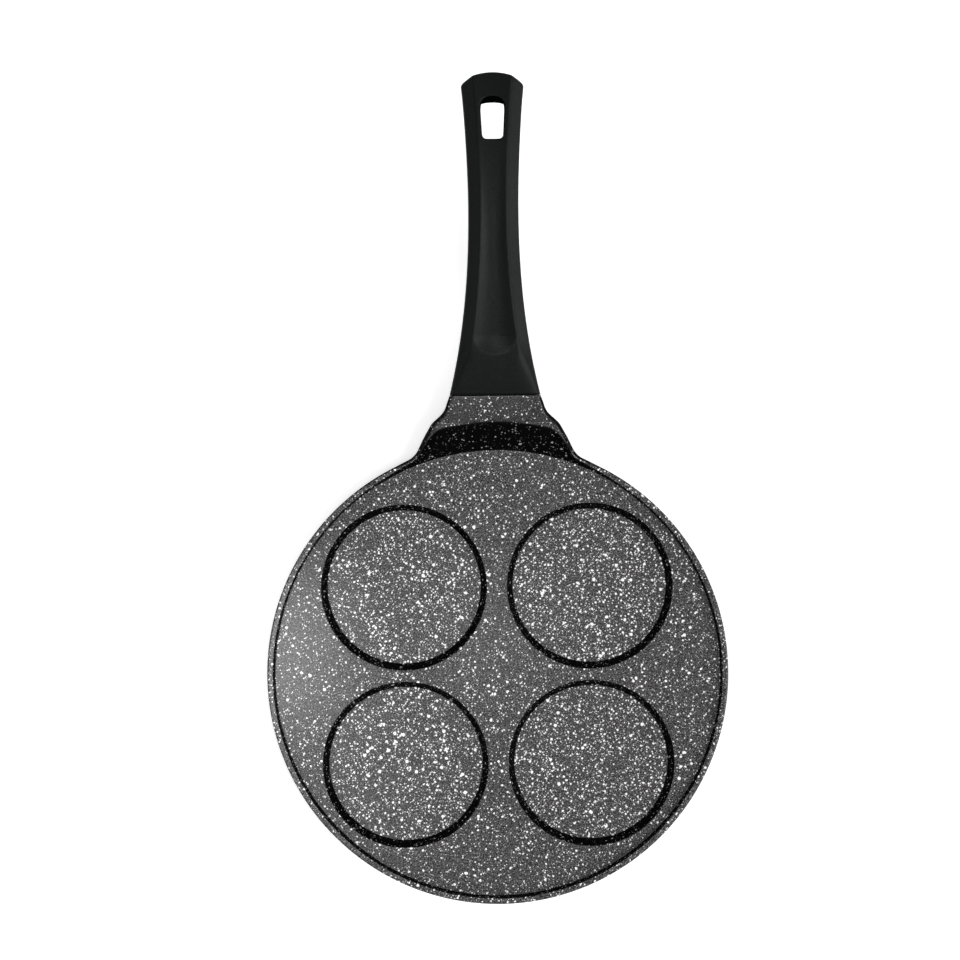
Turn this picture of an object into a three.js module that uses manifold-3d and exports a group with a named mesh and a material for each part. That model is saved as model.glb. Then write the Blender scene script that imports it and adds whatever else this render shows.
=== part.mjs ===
// Pancake pan with four shallow wells: a cast body with a rim and a neck, a perforated steel plate
// pressed into its base, and a moulded handle that sits on a tang and is held by one screw from below.
// Millimetres, +Z up. The origin is the middle of the base, on the surface the pan stands on.
// The handle points to +Y.

import * as THREE from "three";
import { mergeVertices } from "three/addons/utils/BufferGeometryUtils.js";
import Module from "manifold-3d";

// Wells
const WELL_MOUTH_DIAMETER = 94.8;
const WELL_DEPTH = 6;
const WELL_WALL_RUN = 3.1;
const WELL_ROUND = 0.5;
const WELL_GAP_ACROSS = 10.6;
const WELL_GAP_ALONG = 5.8;
const WELL_SHIFT = 1.4;

// Dish around the wells
const FLOOR_THICKNESS = 4.2;
const RIM_MARGIN = 5;
const RIM_STEP = 5;
const RIM_DRAFT = 0.35;
const RIM_LAND = 3.45;
const RIM_EDGE_ROUND = 1;
const SIDE_FLARE = 5;
const BASE_ROUND = 8;

// Induction plate
const PLATE_DIAMETER = 190;
const PLATE_THICKNESS = 0.8;
const PLATE_PROUD = 0.3;
const PLATE_HOLE_DIAMETER = 8;
const PLATE_EDGE_MARGIN = 13;
const PLATE_RINGS = 3;
const PLATE_HOLES_PER_RING = 6;

// Neck between the rim and the handle
const NECK_LENGTH = 26.6;
const NECK_SPREAD_DEGREES = 30;
const NECK_RISE = 7.5;
const NECK_FRONT_RUN = 15.6;
const NECK_WAIST_BACK = 9;
const NECK_WAIST_SPREAD = 3.2;
const NECK_WAIST_ROUND = 3;
const NECK_SHOULDER_BACK = 15.4;
const NECK_SHOULDER_SPREAD = 10.4;
const NECK_SHOULDER_ROUND = 2;
const NECK_FOOT_SPREAD = 20;
const NECK_FOOT_CLEAR = 1;
const NECK_FOOT_ROUND = 4;

// Seam where the handle meets the neck
const SEAM_WIDTH = 51.2;
const SEAM_THICKNESS = 17.5;
const SEAM_RISE = 10;
const SEAM_EDGE = 2;
const SEAM_GAP = 0.3;

// Handle
const HANDLE_LENGTH = 175.2;
const HANDLE_RISE = 26.5;
const HANDLE_END_THICKNESS = 14.5;
const HANDLE_WAIST_WIDTH = 27.9;
const HANDLE_WAIST_DISTANCE = 105;
const HANDLE_END_WIDTH = 34.8;
const HANDLE_END_ARC = 36;
const HANDLE_END_ROUND = 2.4;
const HANDLE_TOP_SLOPE = 0.26;
const HANDLE_UNDERSIDE_SLOPE = 0.08;
const HANDLE_END_SLOPE = 0.03;
const HANDLE_SEAM_POWER = 2.25;
const HANDLE_END_POWER = 1.6;
const HANDLE_BEND_POWER = 8;
const BELLY_POWER = 0.75;
const FACET_WIDTH = 6.5;
const FACET_DROP = 5;
const FACET_FADE = 26;
const GROOVE_DEPTH = 1.9;
const GROOVE_START = 22.5;
const GROOVE_ROUND = 11;
const GROOVE_FADE = 155;

// Hanging slot through the end of the handle
const SLOT_LENGTH = 23.8;
const SLOT_FAR_WIDTH = 13.3;
const SLOT_NEAR_WIDTH = 11.3;
const SLOT_ARCH = 5;
const SLOT_CORNER = 2.6;
const SLOT_END_WALL = 13;

// Tang, screw and washers
const TANG_WIDTH = 30;
const TANG_HEIGHT = 7;
const TANG_LENGTH = 34;
const TANG_ROOT = 11;
const TANG_CORNER = 2;
const FIT_CLEARANCE = 0.3;
const STACK_CLEARANCE = 0.1;
const SCREW_DISTANCE = 17;
const SCREW_DIAMETER = 5;
const SCREW_HEAD_DIAMETER = 9;
const SCREW_HEAD_HEIGHT = 2.2;
const SCREW_HEAD_ROUND = 0.8;
const SCREW_TIP_CHAMFER = 0.6;
const SCREW_TIP_MARGIN = 1;
const SCREW_SEAT_WALL = 2.2;
const RECESS_LENGTH = 4.6;
const RECESS_WIDTH = 1.1;
const RECESS_DEPTH = 1.3;
const WASHER_OVERHANG = 0.5;
const WASHER_THICKNESS = 0.8;
const SPRING_WIDTH = 1.5;
const SPRING_THICKNESS = 1;
const SPRING_SLIT_DEGREES = 9;

// Fineness of the curves
const DISH_SIDES = 96;
const WELL_SIDES = 52;
const BORE_SIDES = 24;
const HOLE_SIDES = 8;
const DISH_ROUND_STEPS = 4;
const ROUND_STEPS = 2;
const PLATE_STEPS = 48;
const WASHER_STEPS = 12;
const SLOT_STEPS = 6;
const NECK_STATIONS = 22;
const HANDLE_STATIONS = 44;
const TOP_STEPS = 5;
const BELLY_STEPS = 6;
const END_STEPS = 3;
const MERGE_TOLERANCE = 1e-4;

// How far a cutter runs past what it cuts
const CUT_MARGIN = 20;

// Levels above the surface the pan stands on
const baseLevel = PLATE_PROUD;
const wellFloorLevel = baseLevel + FLOOR_THICKNESS;
const cookingLevel = wellFloorLevel + WELL_DEPTH;
const rimLevel = cookingLevel + RIM_STEP;
const seamTop = rimLevel + SEAM_RISE;
const seamBottom = seamTop - SEAM_THICKNESS;

// Radii and distances from the pan's axis
const wellMouth = WELL_MOUTH_DIAMETER / 2;
const wellAcross = wellMouth + WELL_GAP_ACROSS / 2;
const wellAlong = wellMouth + WELL_GAP_ALONG / 2;
const wellReach = Math.hypot(wellAcross, wellAlong + WELL_SHIFT) + wellMouth;
const rimFoot = wellReach + RIM_MARGIN;
const rimInner = rimFoot + RIM_DRAFT;
const rimOuter = rimInner + RIM_LAND;
const baseRadius = rimOuter - SIDE_FLARE;
const seamY = rimOuter + NECK_LENGTH;
const handleY = seamY + SEAM_GAP;

const wasm = await Module();
wasm.setup();

// A closed geometry as a solid that can be joined and cut.
function solidOf(geometry) {
  const bare = geometry.index ? geometry.toNonIndexed() : geometry.clone();
  bare.deleteAttribute("normal");
  bare.deleteAttribute("uv");
  const merged = mergeVertices(bare, MERGE_TOLERANCE);
  const index = merged.index.array;
  const kept = [];
  for (let i = 0; i < index.length; i += 3) {
    const corners = [index[i], index[i + 1], index[i + 2]];
    if (new Set(corners).size === corners.length) kept.push(...corners);
  }
  const vertProperties = new Float32Array(merged.attributes.position.array);
  const triVerts = new Uint32Array(kept);
  return new wasm.Manifold(new wasm.Mesh({ numProp: 3, vertProperties, triVerts }));
}

// A finished solid as a named mesh.
function meshOf(name, solid, material) {
  const { vertProperties, triVerts } = solid.getMesh();
  const geometry = new THREE.BufferGeometry();
  geometry.setAttribute("position", new THREE.BufferAttribute(new Float32Array(vertProperties), 3));
  geometry.setIndex(new THREE.BufferAttribute(new Uint32Array(triVerts), 1));
  geometry.computeVertexNormals();
  const mesh = new THREE.Mesh(geometry, material);
  mesh.name = name;
  return mesh;
}

// A path or shape through corners [x, y, round]: a corner is rounded over that length on both sides.
function traced(path, corners) {
  corners.forEach(([x, y, round], i) => {
    const corner = new THREE.Vector2(x, y);
    const last = new THREE.Vector2(...corners.at(i - 1));
    const next = new THREE.Vector2(...corners.at((i + 1) % corners.length));
    const before = last.sub(corner).setLength(round).add(corner);
    const after = next.sub(corner).setLength(round).add(corner);
    if (i === 0) path.moveTo(before.x, before.y);
    else path.lineTo(before.x, before.y);
    if (round > 0) path.quadraticCurveTo(x, y, after.x, after.y);
  });
  return path;
}

// A solid turned about the Z axis from corners [radius, height, round] that start and end on the axis.
function turned(corners, sides, roundSteps) {
  const points = traced(new THREE.Path(), corners).getPoints(roundSteps);
  return solidOf(new THREE.LatheGeometry(points, sides).rotateX(Math.PI / 2));
}

// A plan shape raised from one level to another.
function raised(shape, bottom, top, curveSegments) {
  const options = { depth: top - bottom, bevelEnabled: false, curveSegments };
  return solidOf(new THREE.ExtrudeGeometry(shape, options).translate(0, 0, bottom));
}

// A skin over rings of equal length, closed by a fan at each end.
function skinned(rings) {
  const count = rings[0].length;
  const points = rings.flat();
  const index = [];
  for (let i = 0; i + 1 < rings.length; i++) {
    for (let j = 0; j < count; j++) {
      const k = (j + 1) % count;
      const here = i * count;
      const there = here + count;
      index.push(here + j, there + k, there + j, here + j, here + k, there + k);
    }
  }
  const middleOf = (ring) => ring.reduce((sum, p) => sum.add(p), new THREE.Vector3()).divideScalar(count);
  const first = points.push(middleOf(rings[0])) - 1;
  const last = points.push(middleOf(rings.at(-1))) - 1;
  const lastRing = (rings.length - 1) * count;
  for (let j = 0; j < count; j++) {
    const k = (j + 1) % count;
    index.push(first, k, j, last, lastRing + j, lastRing + k);
  }
  const geometry = new THREE.BufferGeometry().setFromPoints(points);
  geometry.setIndex(index);
  return solidOf(geometry);
}

// A cubic along the handle from one height to another, with the given slopes at its ends.
function eased(t, start, end, startSlope, endSlope) {
  const rise = (3 - 2 * t) * t * t;
  const lift = startSlope * t * (1 - t) ** 2 - endSlope * t * t * (1 - t);
  return start + (end - start) * rise + HANDLE_LENGTH * lift;
}

// Half of a section through the neck or handle, from the top middle round to the bottom middle, as [x, z].
// The top may dip between its two ridges; a facet leads to the side, and the belly is a full curve.
function halfSection({ half, top, bottom, facetWidth, facetDrop, dip }) {
  const ridge = half - facetWidth;
  const side = top - facetDrop;
  const points = [];
  for (let i = 0; i <= TOP_STEPS; i++) {
    const share = i / TOP_STEPS;
    points.push([ridge * share, top - dip(share)]);
  }
  for (let i = 0; i <= BELLY_STEPS; i++) {
    const angle = (Math.PI / 2) * (i / BELLY_STEPS);
    const x = i < BELLY_STEPS ? half * Math.cos(angle) ** BELLY_POWER : 0;
    points.push([x, side - (side - bottom) * Math.sin(angle) ** BELLY_POWER]);
  }
  return points;
}

// The whole section as a ring of points, each set at the distance that place(x) gives.
function sectionRing(section, place) {
  const right = halfSection(section);
  const left = right.slice(1, -1).reverse().map(([x, z]) => [-x, z]);
  return [...right, ...left].map(([x, z]) => new THREE.Vector3(x, place(x), z));
}

// Neck

const spread = THREE.MathUtils.degToRad(NECK_SPREAD_DEGREES);
const seamHalf = SEAM_WIDTH / 2;
const neckLeave = new THREE.Vector2(rimOuter * Math.sin(spread), rimOuter * Math.cos(spread));
const footX = seamHalf + NECK_FOOT_SPREAD;
const neckFoot = new THREE.Vector2(footX, Math.sqrt((rimOuter + NECK_FOOT_CLEAR) ** 2 - footX ** 2));
const shoulderY = seamY - NECK_SHOULDER_BACK;
const neckShoulder = new THREE.Vector2(seamHalf + NECK_SHOULDER_SPREAD, shoulderY);
const neckWaist = new THREE.Vector2(seamHalf + NECK_WAIST_SPREAD, seamY - NECK_WAIST_BACK);

function neckTop(y) {
  const front = rimLevel + NECK_RISE;
  if (y > shoulderY) return THREE.MathUtils.mapLinear(y, shoulderY, seamY, front, seamTop);
  const share = THREE.MathUtils.smoothstep(y, neckLeave.y, shoulderY);
  return THREE.MathUtils.lerp(rimLevel - RIM_EDGE_ROUND / 2, front, share);
}

function neckSolid() {
  const outline = traced(new THREE.Path(), [
    [neckLeave.x - RIM_EDGE_ROUND, neckLeave.y, 0],
    [neckFoot.x, neckFoot.y, NECK_FOOT_ROUND],
    [neckShoulder.x, neckShoulder.y, NECK_SHOULDER_ROUND],
    [neckWaist.x, neckWaist.y, NECK_WAIST_ROUND],
    [seamHalf, seamY, 0],
  ]);
  const rings = outline.getSpacedPoints(NECK_STATIONS).map((point) => {
    const share = THREE.MathUtils.smoothstep(point.y, neckLeave.y, seamY);
    const edge = THREE.MathUtils.lerp(RIM_EDGE_ROUND, SEAM_EDGE, share);
    const section = {
      half: point.x,
      top: neckTop(point.y),
      bottom: seamBottom,
      facetWidth: edge,
      facetDrop: edge,
      dip: () => 0,
    };
    return sectionRing(section, () => point.y);
  });
  return skinned(rings);
}

// A corner of an outline moved inwards by the width of the land, square to both of its sides.
function insetCorner(before, corner, after, width) {
  const inward = (from, to) => new THREE.Vector2(to.y - from.y, from.x - to.x).normalize();
  const first = inward(before, corner);
  const second = inward(corner, after);
  const scale = width / (1 + first.dot(second));
  return first.add(second).multiplyScalar(scale).add(corner);
}

// The open inside of the dish: everything over the cooking surface and over the neck's front slope,
// within a land of even width along the rim and the neck's flanks.
function cavitySolid() {
  const foot = insetCorner(neckShoulder, neckFoot, neckLeave, RIM_LAND);
  const shoulder = insetCorner(neckWaist, neckShoulder, neckFoot, RIM_LAND);
  const flanks = traced(new THREE.Path(), [
    [-rimInner * Math.sin(spread), rimInner * Math.cos(spread), 0],
    [-foot.x, foot.y, NECK_FOOT_ROUND],
    [-shoulder.x, shoulder.y, NECK_SHOULDER_ROUND],
    [shoulder.x, shoulder.y, NECK_SHOULDER_ROUND],
    [foot.x, foot.y, NECK_FOOT_ROUND],
    [rimInner * Math.sin(spread), rimInner * Math.cos(spread), 0],
  ]);
  const sweep = 2 * Math.PI - 2 * spread;
  const sides = Math.round(DISH_SIDES * sweep / (2 * Math.PI));
  const round = Array.from({ length: sides - 1 }, (_, i) => {
    const angle = spread + sweep * ((i + 1) / sides);
    return new THREE.Vector2(rimInner * Math.sin(angle), rimInner * Math.cos(angle));
  });
  const outline = new THREE.Shape([...flanks.getPoints(ROUND_STEPS), ...round]);
  const slope = (neckTop(rimFoot + NECK_FRONT_RUN) - cookingLevel) / NECK_FRONT_RUN;
  const openTop = seamTop + CUT_MARGIN;
  const openSolid = turned([
    [0, cookingLevel, 0],
    [rimFoot, cookingLevel, 0],
    [rimFoot + (openTop - cookingLevel) / slope, openTop, 0],
    [0, openTop, 0],
  ], DISH_SIDES, ROUND_STEPS);
  return raised(outline, baseLevel, openTop + CUT_MARGIN, ROUND_STEPS).intersect(openSolid);
}

// Dish, wells and base

function dishSolid() {
  return turned([
    [0, baseLevel, 0],
    [baseRadius, baseLevel, BASE_ROUND],
    [rimOuter, rimLevel, RIM_EDGE_ROUND],
    [0, rimLevel, 0],
  ], DISH_SIDES, DISH_ROUND_STEPS);
}

function wellSolid(x, y) {
  const wallTop = wellMouth - WELL_ROUND;
  const clearTop = rimLevel + CUT_MARGIN;
  return turned([
    [0, wellFloorLevel, 0],
    [wallTop - WELL_WALL_RUN, wellFloorLevel, WELL_ROUND],
    [wallTop, cookingLevel, WELL_ROUND],
    [wellMouth, cookingLevel, 0],
    [wellMouth, clearTop, 0],
    [0, clearTop, 0],
  ], WELL_SIDES, ROUND_STEPS).translate([x, y, 0]);
}

// The plate's outline with its rings of holes; an outline for the recess is grown by a clearance.
function plateShape(clearance) {
  const lastRing = (PLATE_DIAMETER - PLATE_HOLE_DIAMETER) / 2 - PLATE_EDGE_MARGIN;
  const shape = new THREE.Shape();
  shape.absarc(0, 0, PLATE_DIAMETER / 2 + clearance, 0, 2 * Math.PI);
  for (let ring = 1; ring <= PLATE_RINGS; ring++) {
    const count = PLATE_HOLES_PER_RING * ring;
    for (let i = 0; i < count; i++) {
      const angle = (2 * Math.PI * i) / count;
      const x = lastRing * (ring / PLATE_RINGS) * Math.cos(angle);
      const y = lastRing * (ring / PLATE_RINGS) * Math.sin(angle);
      const hole = new THREE.Path();
      for (let side = 0; side < HOLE_SIDES; side++) {
        const turn = (-2 * Math.PI * side) / HOLE_SIDES;
        const radius = PLATE_HOLE_DIAMETER / 2 - clearance;
        const corner = [x + radius * Math.cos(turn), y + radius * Math.sin(turn)];
        if (side === 0) hole.moveTo(...corner);
        else hole.lineTo(...corner);
      }
      hole.closePath();
      shape.holes.push(hole);
    }
  }
  return shape;
}

// Handle

function handleHalf(distance) {
  const waist = HANDLE_WAIST_WIDTH / 2;
  const past = distance - HANDLE_WAIST_DISTANCE;
  const toSeam = Math.max(-past, 0) / HANDLE_WAIST_DISTANCE;
  const toEnd = Math.max(past, 0) / (HANDLE_LENGTH - HANDLE_WAIST_DISTANCE);
  const seamGrowth = (seamHalf - waist) * toSeam ** HANDLE_SEAM_POWER;
  const endGrowth = (HANDLE_END_WIDTH / 2 - waist) * toEnd ** HANDLE_END_POWER;
  return waist + seamGrowth + endGrowth;
}

function handleTop(distance) {
  const end = seamTop + HANDLE_RISE;
  return eased(distance / HANDLE_LENGTH, seamTop, end, HANDLE_TOP_SLOPE, HANDLE_END_SLOPE);
}

function handleBottom(distance) {
  const end = seamTop + HANDLE_RISE - HANDLE_END_THICKNESS;
  return eased(distance / HANDLE_LENGTH, seamBottom, end, HANDLE_UNDERSIDE_SLOPE, HANDLE_END_SLOPE);
}

// The thumb groove: deepest where it starts in a round end, fading out towards the hanging slot.
function grooveDip(distance, share) {
  const scoop = GROOVE_START + GROOVE_ROUND;
  const fade = 1 - THREE.MathUtils.smoothstep(distance, scoop, GROOVE_FADE);
  const toStart = Math.max(scoop - distance, 0) / GROOVE_ROUND;
  const edge = Math.hypot(share, toStart);
  return GROOVE_DEPTH * fade * Math.max(1 - edge * edge, 0);
}

function handleSection(distance) {
  const share = THREE.MathUtils.smoothstep(distance, 0, FACET_FADE);
  return {
    half: handleHalf(distance),
    top: handleTop(distance),
    bottom: handleBottom(distance),
    facetWidth: THREE.MathUtils.lerp(SEAM_EDGE, FACET_WIDTH, share),
    facetDrop: THREE.MathUtils.lerp(SEAM_EDGE, FACET_DROP, share),
    dip: (width) => grooveDip(distance, width),
  };
}

// The handle's end is an arc in plan. Its last rings draw in to round the edge and then close the end face.
function handleSolid() {
  const rings = [];
  const reach = HANDLE_LENGTH - HANDLE_END_ROUND;
  const sag = (x) => x * x / (2 * HANDLE_END_ARC);
  for (let i = 0; i <= HANDLE_STATIONS; i++) {
    const distance = reach * (i / HANDLE_STATIONS);
    const bend = (i / HANDLE_STATIONS) ** HANDLE_BEND_POWER;
    rings.push(sectionRing(handleSection(distance), (x) => handleY + distance - bend * sag(x)));
  }
  const edge = rings.at(-1);
  const level = seamTop + HANDLE_RISE - HANDLE_END_THICKNESS / 2;
  for (let i = 1; i <= END_STEPS; i++) {
    const angle = (Math.PI / 2) * (i / END_STEPS);
    const advance = HANDLE_END_ROUND * Math.sin(angle);
    const draw = HANDLE_END_ROUND * (1 - Math.cos(angle));
    rings.push(edge.map((point) => {
      const inward = new THREE.Vector3(-point.x, 0, level - point.z).setLength(draw);
      return point.clone().add(inward).setY(point.y + advance);
    }));
  }
  const face = rings.at(-1);
  for (let i = END_STEPS - 1; i > 0; i--) {
    const share = (i / END_STEPS) ** 2;
    rings.push(face.map((point) => {
      const x = point.x * share;
      const z = THREE.MathUtils.lerp(level, point.z, share);
      return new THREE.Vector3(x, handleY + HANDLE_LENGTH - sag(x), z);
    }));
  }
  return skinned(rings);
}

function slotSolid() {
  const far = handleY + HANDLE_LENGTH - SLOT_END_WALL;
  const near = far - SLOT_LENGTH;
  const spring = far - SLOT_ARCH;
  const shape = traced(new THREE.Shape(), [
    [-SLOT_FAR_WIDTH / 2, spring, 0],
    [-SLOT_NEAR_WIDTH / 2, near, SLOT_CORNER],
    [SLOT_NEAR_WIDTH / 2, near, SLOT_CORNER],
    [SLOT_FAR_WIDTH / 2, spring, 0],
  ]);
  shape.absellipse(0, spring, SLOT_FAR_WIDTH / 2, SLOT_ARCH, 0, Math.PI);
  return raised(shape, baseLevel, seamTop + HANDLE_RISE + CUT_MARGIN, SLOT_STEPS);
}

// Fastening frame: its origin is the middle of the seam, +Y runs along the tang and +Z is square to it.
const seamMiddle = (seamTop + seamBottom) / 2;
const tangMiddle = (handleTop(TANG_LENGTH) + handleBottom(TANG_LENGTH)) / 2;
const tangTilt = Math.atan2(tangMiddle - seamMiddle, TANG_LENGTH);
const fastening = new THREE.Group();
fastening.position.set(0, seamY, seamMiddle);
fastening.rotation.x = tangTilt;
fastening.updateMatrixWorld();
const washerDiameter = SCREW_HEAD_DIAMETER + 2 * WASHER_OVERHANG;
const boreDiameter = SCREW_DIAMETER + 2 * FIT_CLEARANCE;
const screwSeat = -TANG_HEIGHT / 2 - FIT_CLEARANCE - SCREW_SEAT_WALL;
const washerTop = screwSeat - STACK_CLEARANCE;
const springTop = washerTop - WASHER_THICKNESS - STACK_CLEARANCE;
const headTop = springTop - SPRING_THICKNESS - STACK_CLEARANCE;
const headBottom = headTop - SCREW_HEAD_HEIGHT;

function inFastening(solid) {
  return solid.transform(fastening.matrixWorld.toArray());
}

function tangSolid(clearance, root) {
  const x = TANG_WIDTH / 2 + clearance;
  const z = TANG_HEIGHT / 2 + clearance;
  const shape = traced(new THREE.Shape(), [
    [-x, -z, TANG_CORNER],
    [x, -z, TANG_CORNER],
    [x, z, TANG_CORNER],
    [-x, z, TANG_CORNER],
  ]);
  const depth = TANG_LENGTH + clearance + root;
  const options = { depth, bevelEnabled: false, curveSegments: ROUND_STEPS };
  const geometry = new THREE.ExtrudeGeometry(shape, options).rotateX(-Math.PI / 2);
  return inFastening(solidOf(geometry.translate(0, -root, 0)));
}

function boreSolid(diameter, bottom, top) {
  const geometry = new THREE.CylinderGeometry(diameter / 2, diameter / 2, top - bottom, BORE_SIDES);
  geometry.rotateX(Math.PI / 2).translate(0, SCREW_DISTANCE, (top + bottom) / 2);
  return inFastening(solidOf(geometry));
}

function screwSolid() {
  const shank = SCREW_DIAMETER / 2;
  const tip = TANG_HEIGHT / 2 - SCREW_TIP_MARGIN;
  const body = turned([
    [0, headBottom, 0],
    [SCREW_HEAD_DIAMETER / 2, headBottom, SCREW_HEAD_ROUND],
    [SCREW_HEAD_DIAMETER / 2, headTop, 0],
    [shank, headTop, 0],
    [shank, tip - SCREW_TIP_CHAMFER, 0],
    [shank - SCREW_TIP_CHAMFER, tip, 0],
    [0, tip, 0],
  ], BORE_SIDES, ROUND_STEPS);
  const slot = new THREE.BoxGeometry(RECESS_LENGTH, RECESS_WIDTH, 2 * RECESS_DEPTH);
  slot.translate(0, 0, headBottom);
  const across = solidOf(slot);
  return body.subtract(across).subtract(solidOf(slot.rotateZ(Math.PI / 2)));
}

// A washer with its bore, and a split one when the slit is open.
function washerSolid(diameter, thickness, top, slitDegrees) {
  const bore = boreDiameter / 2;
  const slit = THREE.MathUtils.degToRad(slitDegrees);
  const shape = new THREE.Shape();
  shape.absarc(0, 0, diameter / 2, slit / 2, 2 * Math.PI - slit / 2);
  if (slit > 0) shape.absarc(0, 0, bore, 2 * Math.PI - slit / 2, slit / 2, true);
  else shape.holes.push(new THREE.Path().absarc(0, 0, bore, 0, 2 * Math.PI, true));
  return raised(shape, top - thickness, top, WASHER_STEPS);
}

// Pieces

const coating = new THREE.MeshStandardMaterial({ color: 0x3b3b3d, roughness: 0.42, metalness: 0 });
const phenolic = new THREE.MeshStandardMaterial({ color: 0x1b1b1d, roughness: 0.55, metalness: 0 });
const steel = new THREE.MeshStandardMaterial({ color: 0xb4b4b0, roughness: 0.34, metalness: 1 });

const wells = [-1, 1].flatMap((side) => [-1, 1].map((end) => {
  return wellSolid(side * wellAcross, end * wellAlong - WELL_SHIFT);
}));
const recessTop = PLATE_THICKNESS + FIT_CLEARANCE;
const recess = raised(plateShape(FIT_CLEARANCE), -CUT_MARGIN, recessTop, PLATE_STEPS);
const tapping = boreSolid(boreDiameter, -TANG_HEIGHT, TANG_HEIGHT);
const openBody = dishSolid().add(neckSolid()).subtract(cavitySolid()).subtract(recess);
const welledBody = wells.reduce((body, well) => body.subtract(well), openBody);
const panBody = welledBody.add(tangSolid(0, TANG_ROOT)).subtract(tapping);

const socket = tangSolid(FIT_CLEARANCE, TANG_ROOT);
const clearBore = boreSolid(boreDiameter, headBottom, 0);
const headBore = boreSolid(washerDiameter + 2 * FIT_CLEARANCE, headBottom - CUT_MARGIN, screwSeat);
const slottedHandle = handleSolid().subtract(slotSolid());
const handleBody = slottedHandle.subtract(socket).subtract(clearBore).subtract(headBore);

const platePiece = raised(plateShape(0), 0, PLATE_THICKNESS, PLATE_STEPS);
const washerPiece = washerSolid(washerDiameter, WASHER_THICKNESS, washerTop, 0);
const springDiameter = boreDiameter + 2 * SPRING_WIDTH;
const springPiece = washerSolid(springDiameter, SPRING_THICKNESS, springTop, SPRING_SLIT_DEGREES);

const pancakePan = new THREE.Group();
pancakePan.add(meshOf("pan_body", panBody, coating));
pancakePan.add(meshOf("induction_plate", platePiece, steel));
pancakePan.add(meshOf("handle", handleBody, phenolic));
const screwGroup = new THREE.Group();
screwGroup.position.y = SCREW_DISTANCE;
screwGroup.add(meshOf("handle_screw", screwSolid(), steel));
screwGroup.add(meshOf("flat_washer", washerPiece, steel));
screwGroup.add(meshOf("spring_washer", springPiece, steel));
fastening.add(screwGroup);
pancakePan.add(fastening);

export default pancakePan;
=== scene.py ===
"""Looks of a pancake pan: a cast dish with four wells, a speckled coating and a moulded handle.

Shapes are worked out in millimetres in the CAD frame: the pan stands on z = 0, its axis is z and its
handle lies along +y. They become metres where a mesh is made.
"""

import math

import bmesh
import bpy
import numpy as np
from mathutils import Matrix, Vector


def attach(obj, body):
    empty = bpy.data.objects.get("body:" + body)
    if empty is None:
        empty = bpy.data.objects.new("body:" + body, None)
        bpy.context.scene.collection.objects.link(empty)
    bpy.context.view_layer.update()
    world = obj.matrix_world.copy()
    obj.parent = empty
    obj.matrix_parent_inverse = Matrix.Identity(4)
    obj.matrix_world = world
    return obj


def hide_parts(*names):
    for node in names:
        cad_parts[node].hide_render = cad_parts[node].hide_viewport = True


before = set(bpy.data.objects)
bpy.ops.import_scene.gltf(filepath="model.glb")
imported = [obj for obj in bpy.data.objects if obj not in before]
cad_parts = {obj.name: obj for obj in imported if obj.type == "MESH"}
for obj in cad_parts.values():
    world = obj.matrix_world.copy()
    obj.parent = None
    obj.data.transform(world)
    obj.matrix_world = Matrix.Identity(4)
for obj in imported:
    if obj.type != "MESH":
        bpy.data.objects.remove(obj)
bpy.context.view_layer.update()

MM = 0.001
MERGE_DISTANCE = 2e-7
SHARP_ANGLE = math.radians(38)

# Dish, wells and rim
PLATE_PROUD = 0.3
FLOOR_THICKNESS = 4.2
WELL_DEPTH = 6.0
WELL_MOUTH = 47.4
WELL_WALL_RUN = 3.1
WELL_ROUND = 0.5
WELL_ACROSS = 52.7
WELL_ALONG = 50.3
WELL_SHIFT = 1.4
RIM_FOOT = 126.225
RIM_STEP = 5.0
RIM_DRAFT = 0.65
RIM_LAND = 3.45
RIM_EDGE = 1.0
RIM_FOOT_FILLET = 0.25
RIM_CREST = 0.35
FLAT_MARGIN = 2.0
SIDE_FLARE = 5.0
BASE_ROUND = 8.0
UNDER_MARGIN = 12.0

# Neck
NECK_LENGTH = 26.3
NECK_SPREAD = math.radians(30)
NECK_RISE = 7.5
NECK_FRONT_RUN = 15.6
FLANK_FOOT = (20.0, 1.0, 4.0)
FLANK_SHOULDER = (10.4, 15.4, 2.0)
FLANK_WAIST = (3.2, 9.0, 3.0)
FRONT_CORNER = 4.5
NECK_EDGE = 3.0
NECK_EDGE_RUN = 11.0
FLANK_STRIP = 0.4
OUTLINE_SLACK = 0.02
NECK_LAND = 2.3
NECK_LAND_BEFORE = 9.0
NECK_LAND_PAST = 8.0
LAND_SOFTNESS = 0.5
UNDERSIDE_BLEND = 3.0
LEAST_BLEND = 0.01
SEAM_HALF = 25.6
SEAM_THICKNESS = 17.5
SEAM_RISE = 10.0
SEAM_EDGE = 2.0
SEAM_GAP = 0.3
SEAM_LIP = 0.35
BELLY_POWER = 0.75

# Handle
HANDLE_LENGTH = 175.5
HANDLE_RISE = 26.5
END_THICKNESS = 14.5
WAIST_HALF = 13.95
WAIST_DISTANCE = 105.0
END_HALF = 17.4
END_ARC = 31.0
END_CUT = 0.18
END_ROUND = 1.5
TOP_SLOPE = 0.26
UNDERSIDE_SLOPE = 0.08
END_SLOPE = 0.03
SEAM_POWER = 2.25
END_POWER = 1.6
BEND_POWER = 8
FACET_WIDTH = 6.5
FACET_DROP = 5.0
FACET_FADE = 32.0
RIDGE_ROUND = 1.1
RIDGE_REACH = 0.6
SOFT_RIDGE = 9.0
SOFT_RIDGE_START = 10.0
SOFT_RIDGE_END = 30.0
SIDE_ROUND = 1.3
SIDE_ROUND_FADE = 1.0
GROOVE_DEPTH = 1.9
GROOVE_START = 22.5
GROOVE_ROUND = 10.5
GROOVE_START_POWER = 1.5
GROOVE_FADE = 155.0
GROOVE_REST = 0.25
GROOVE_SOFTNESS = 0.07

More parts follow.
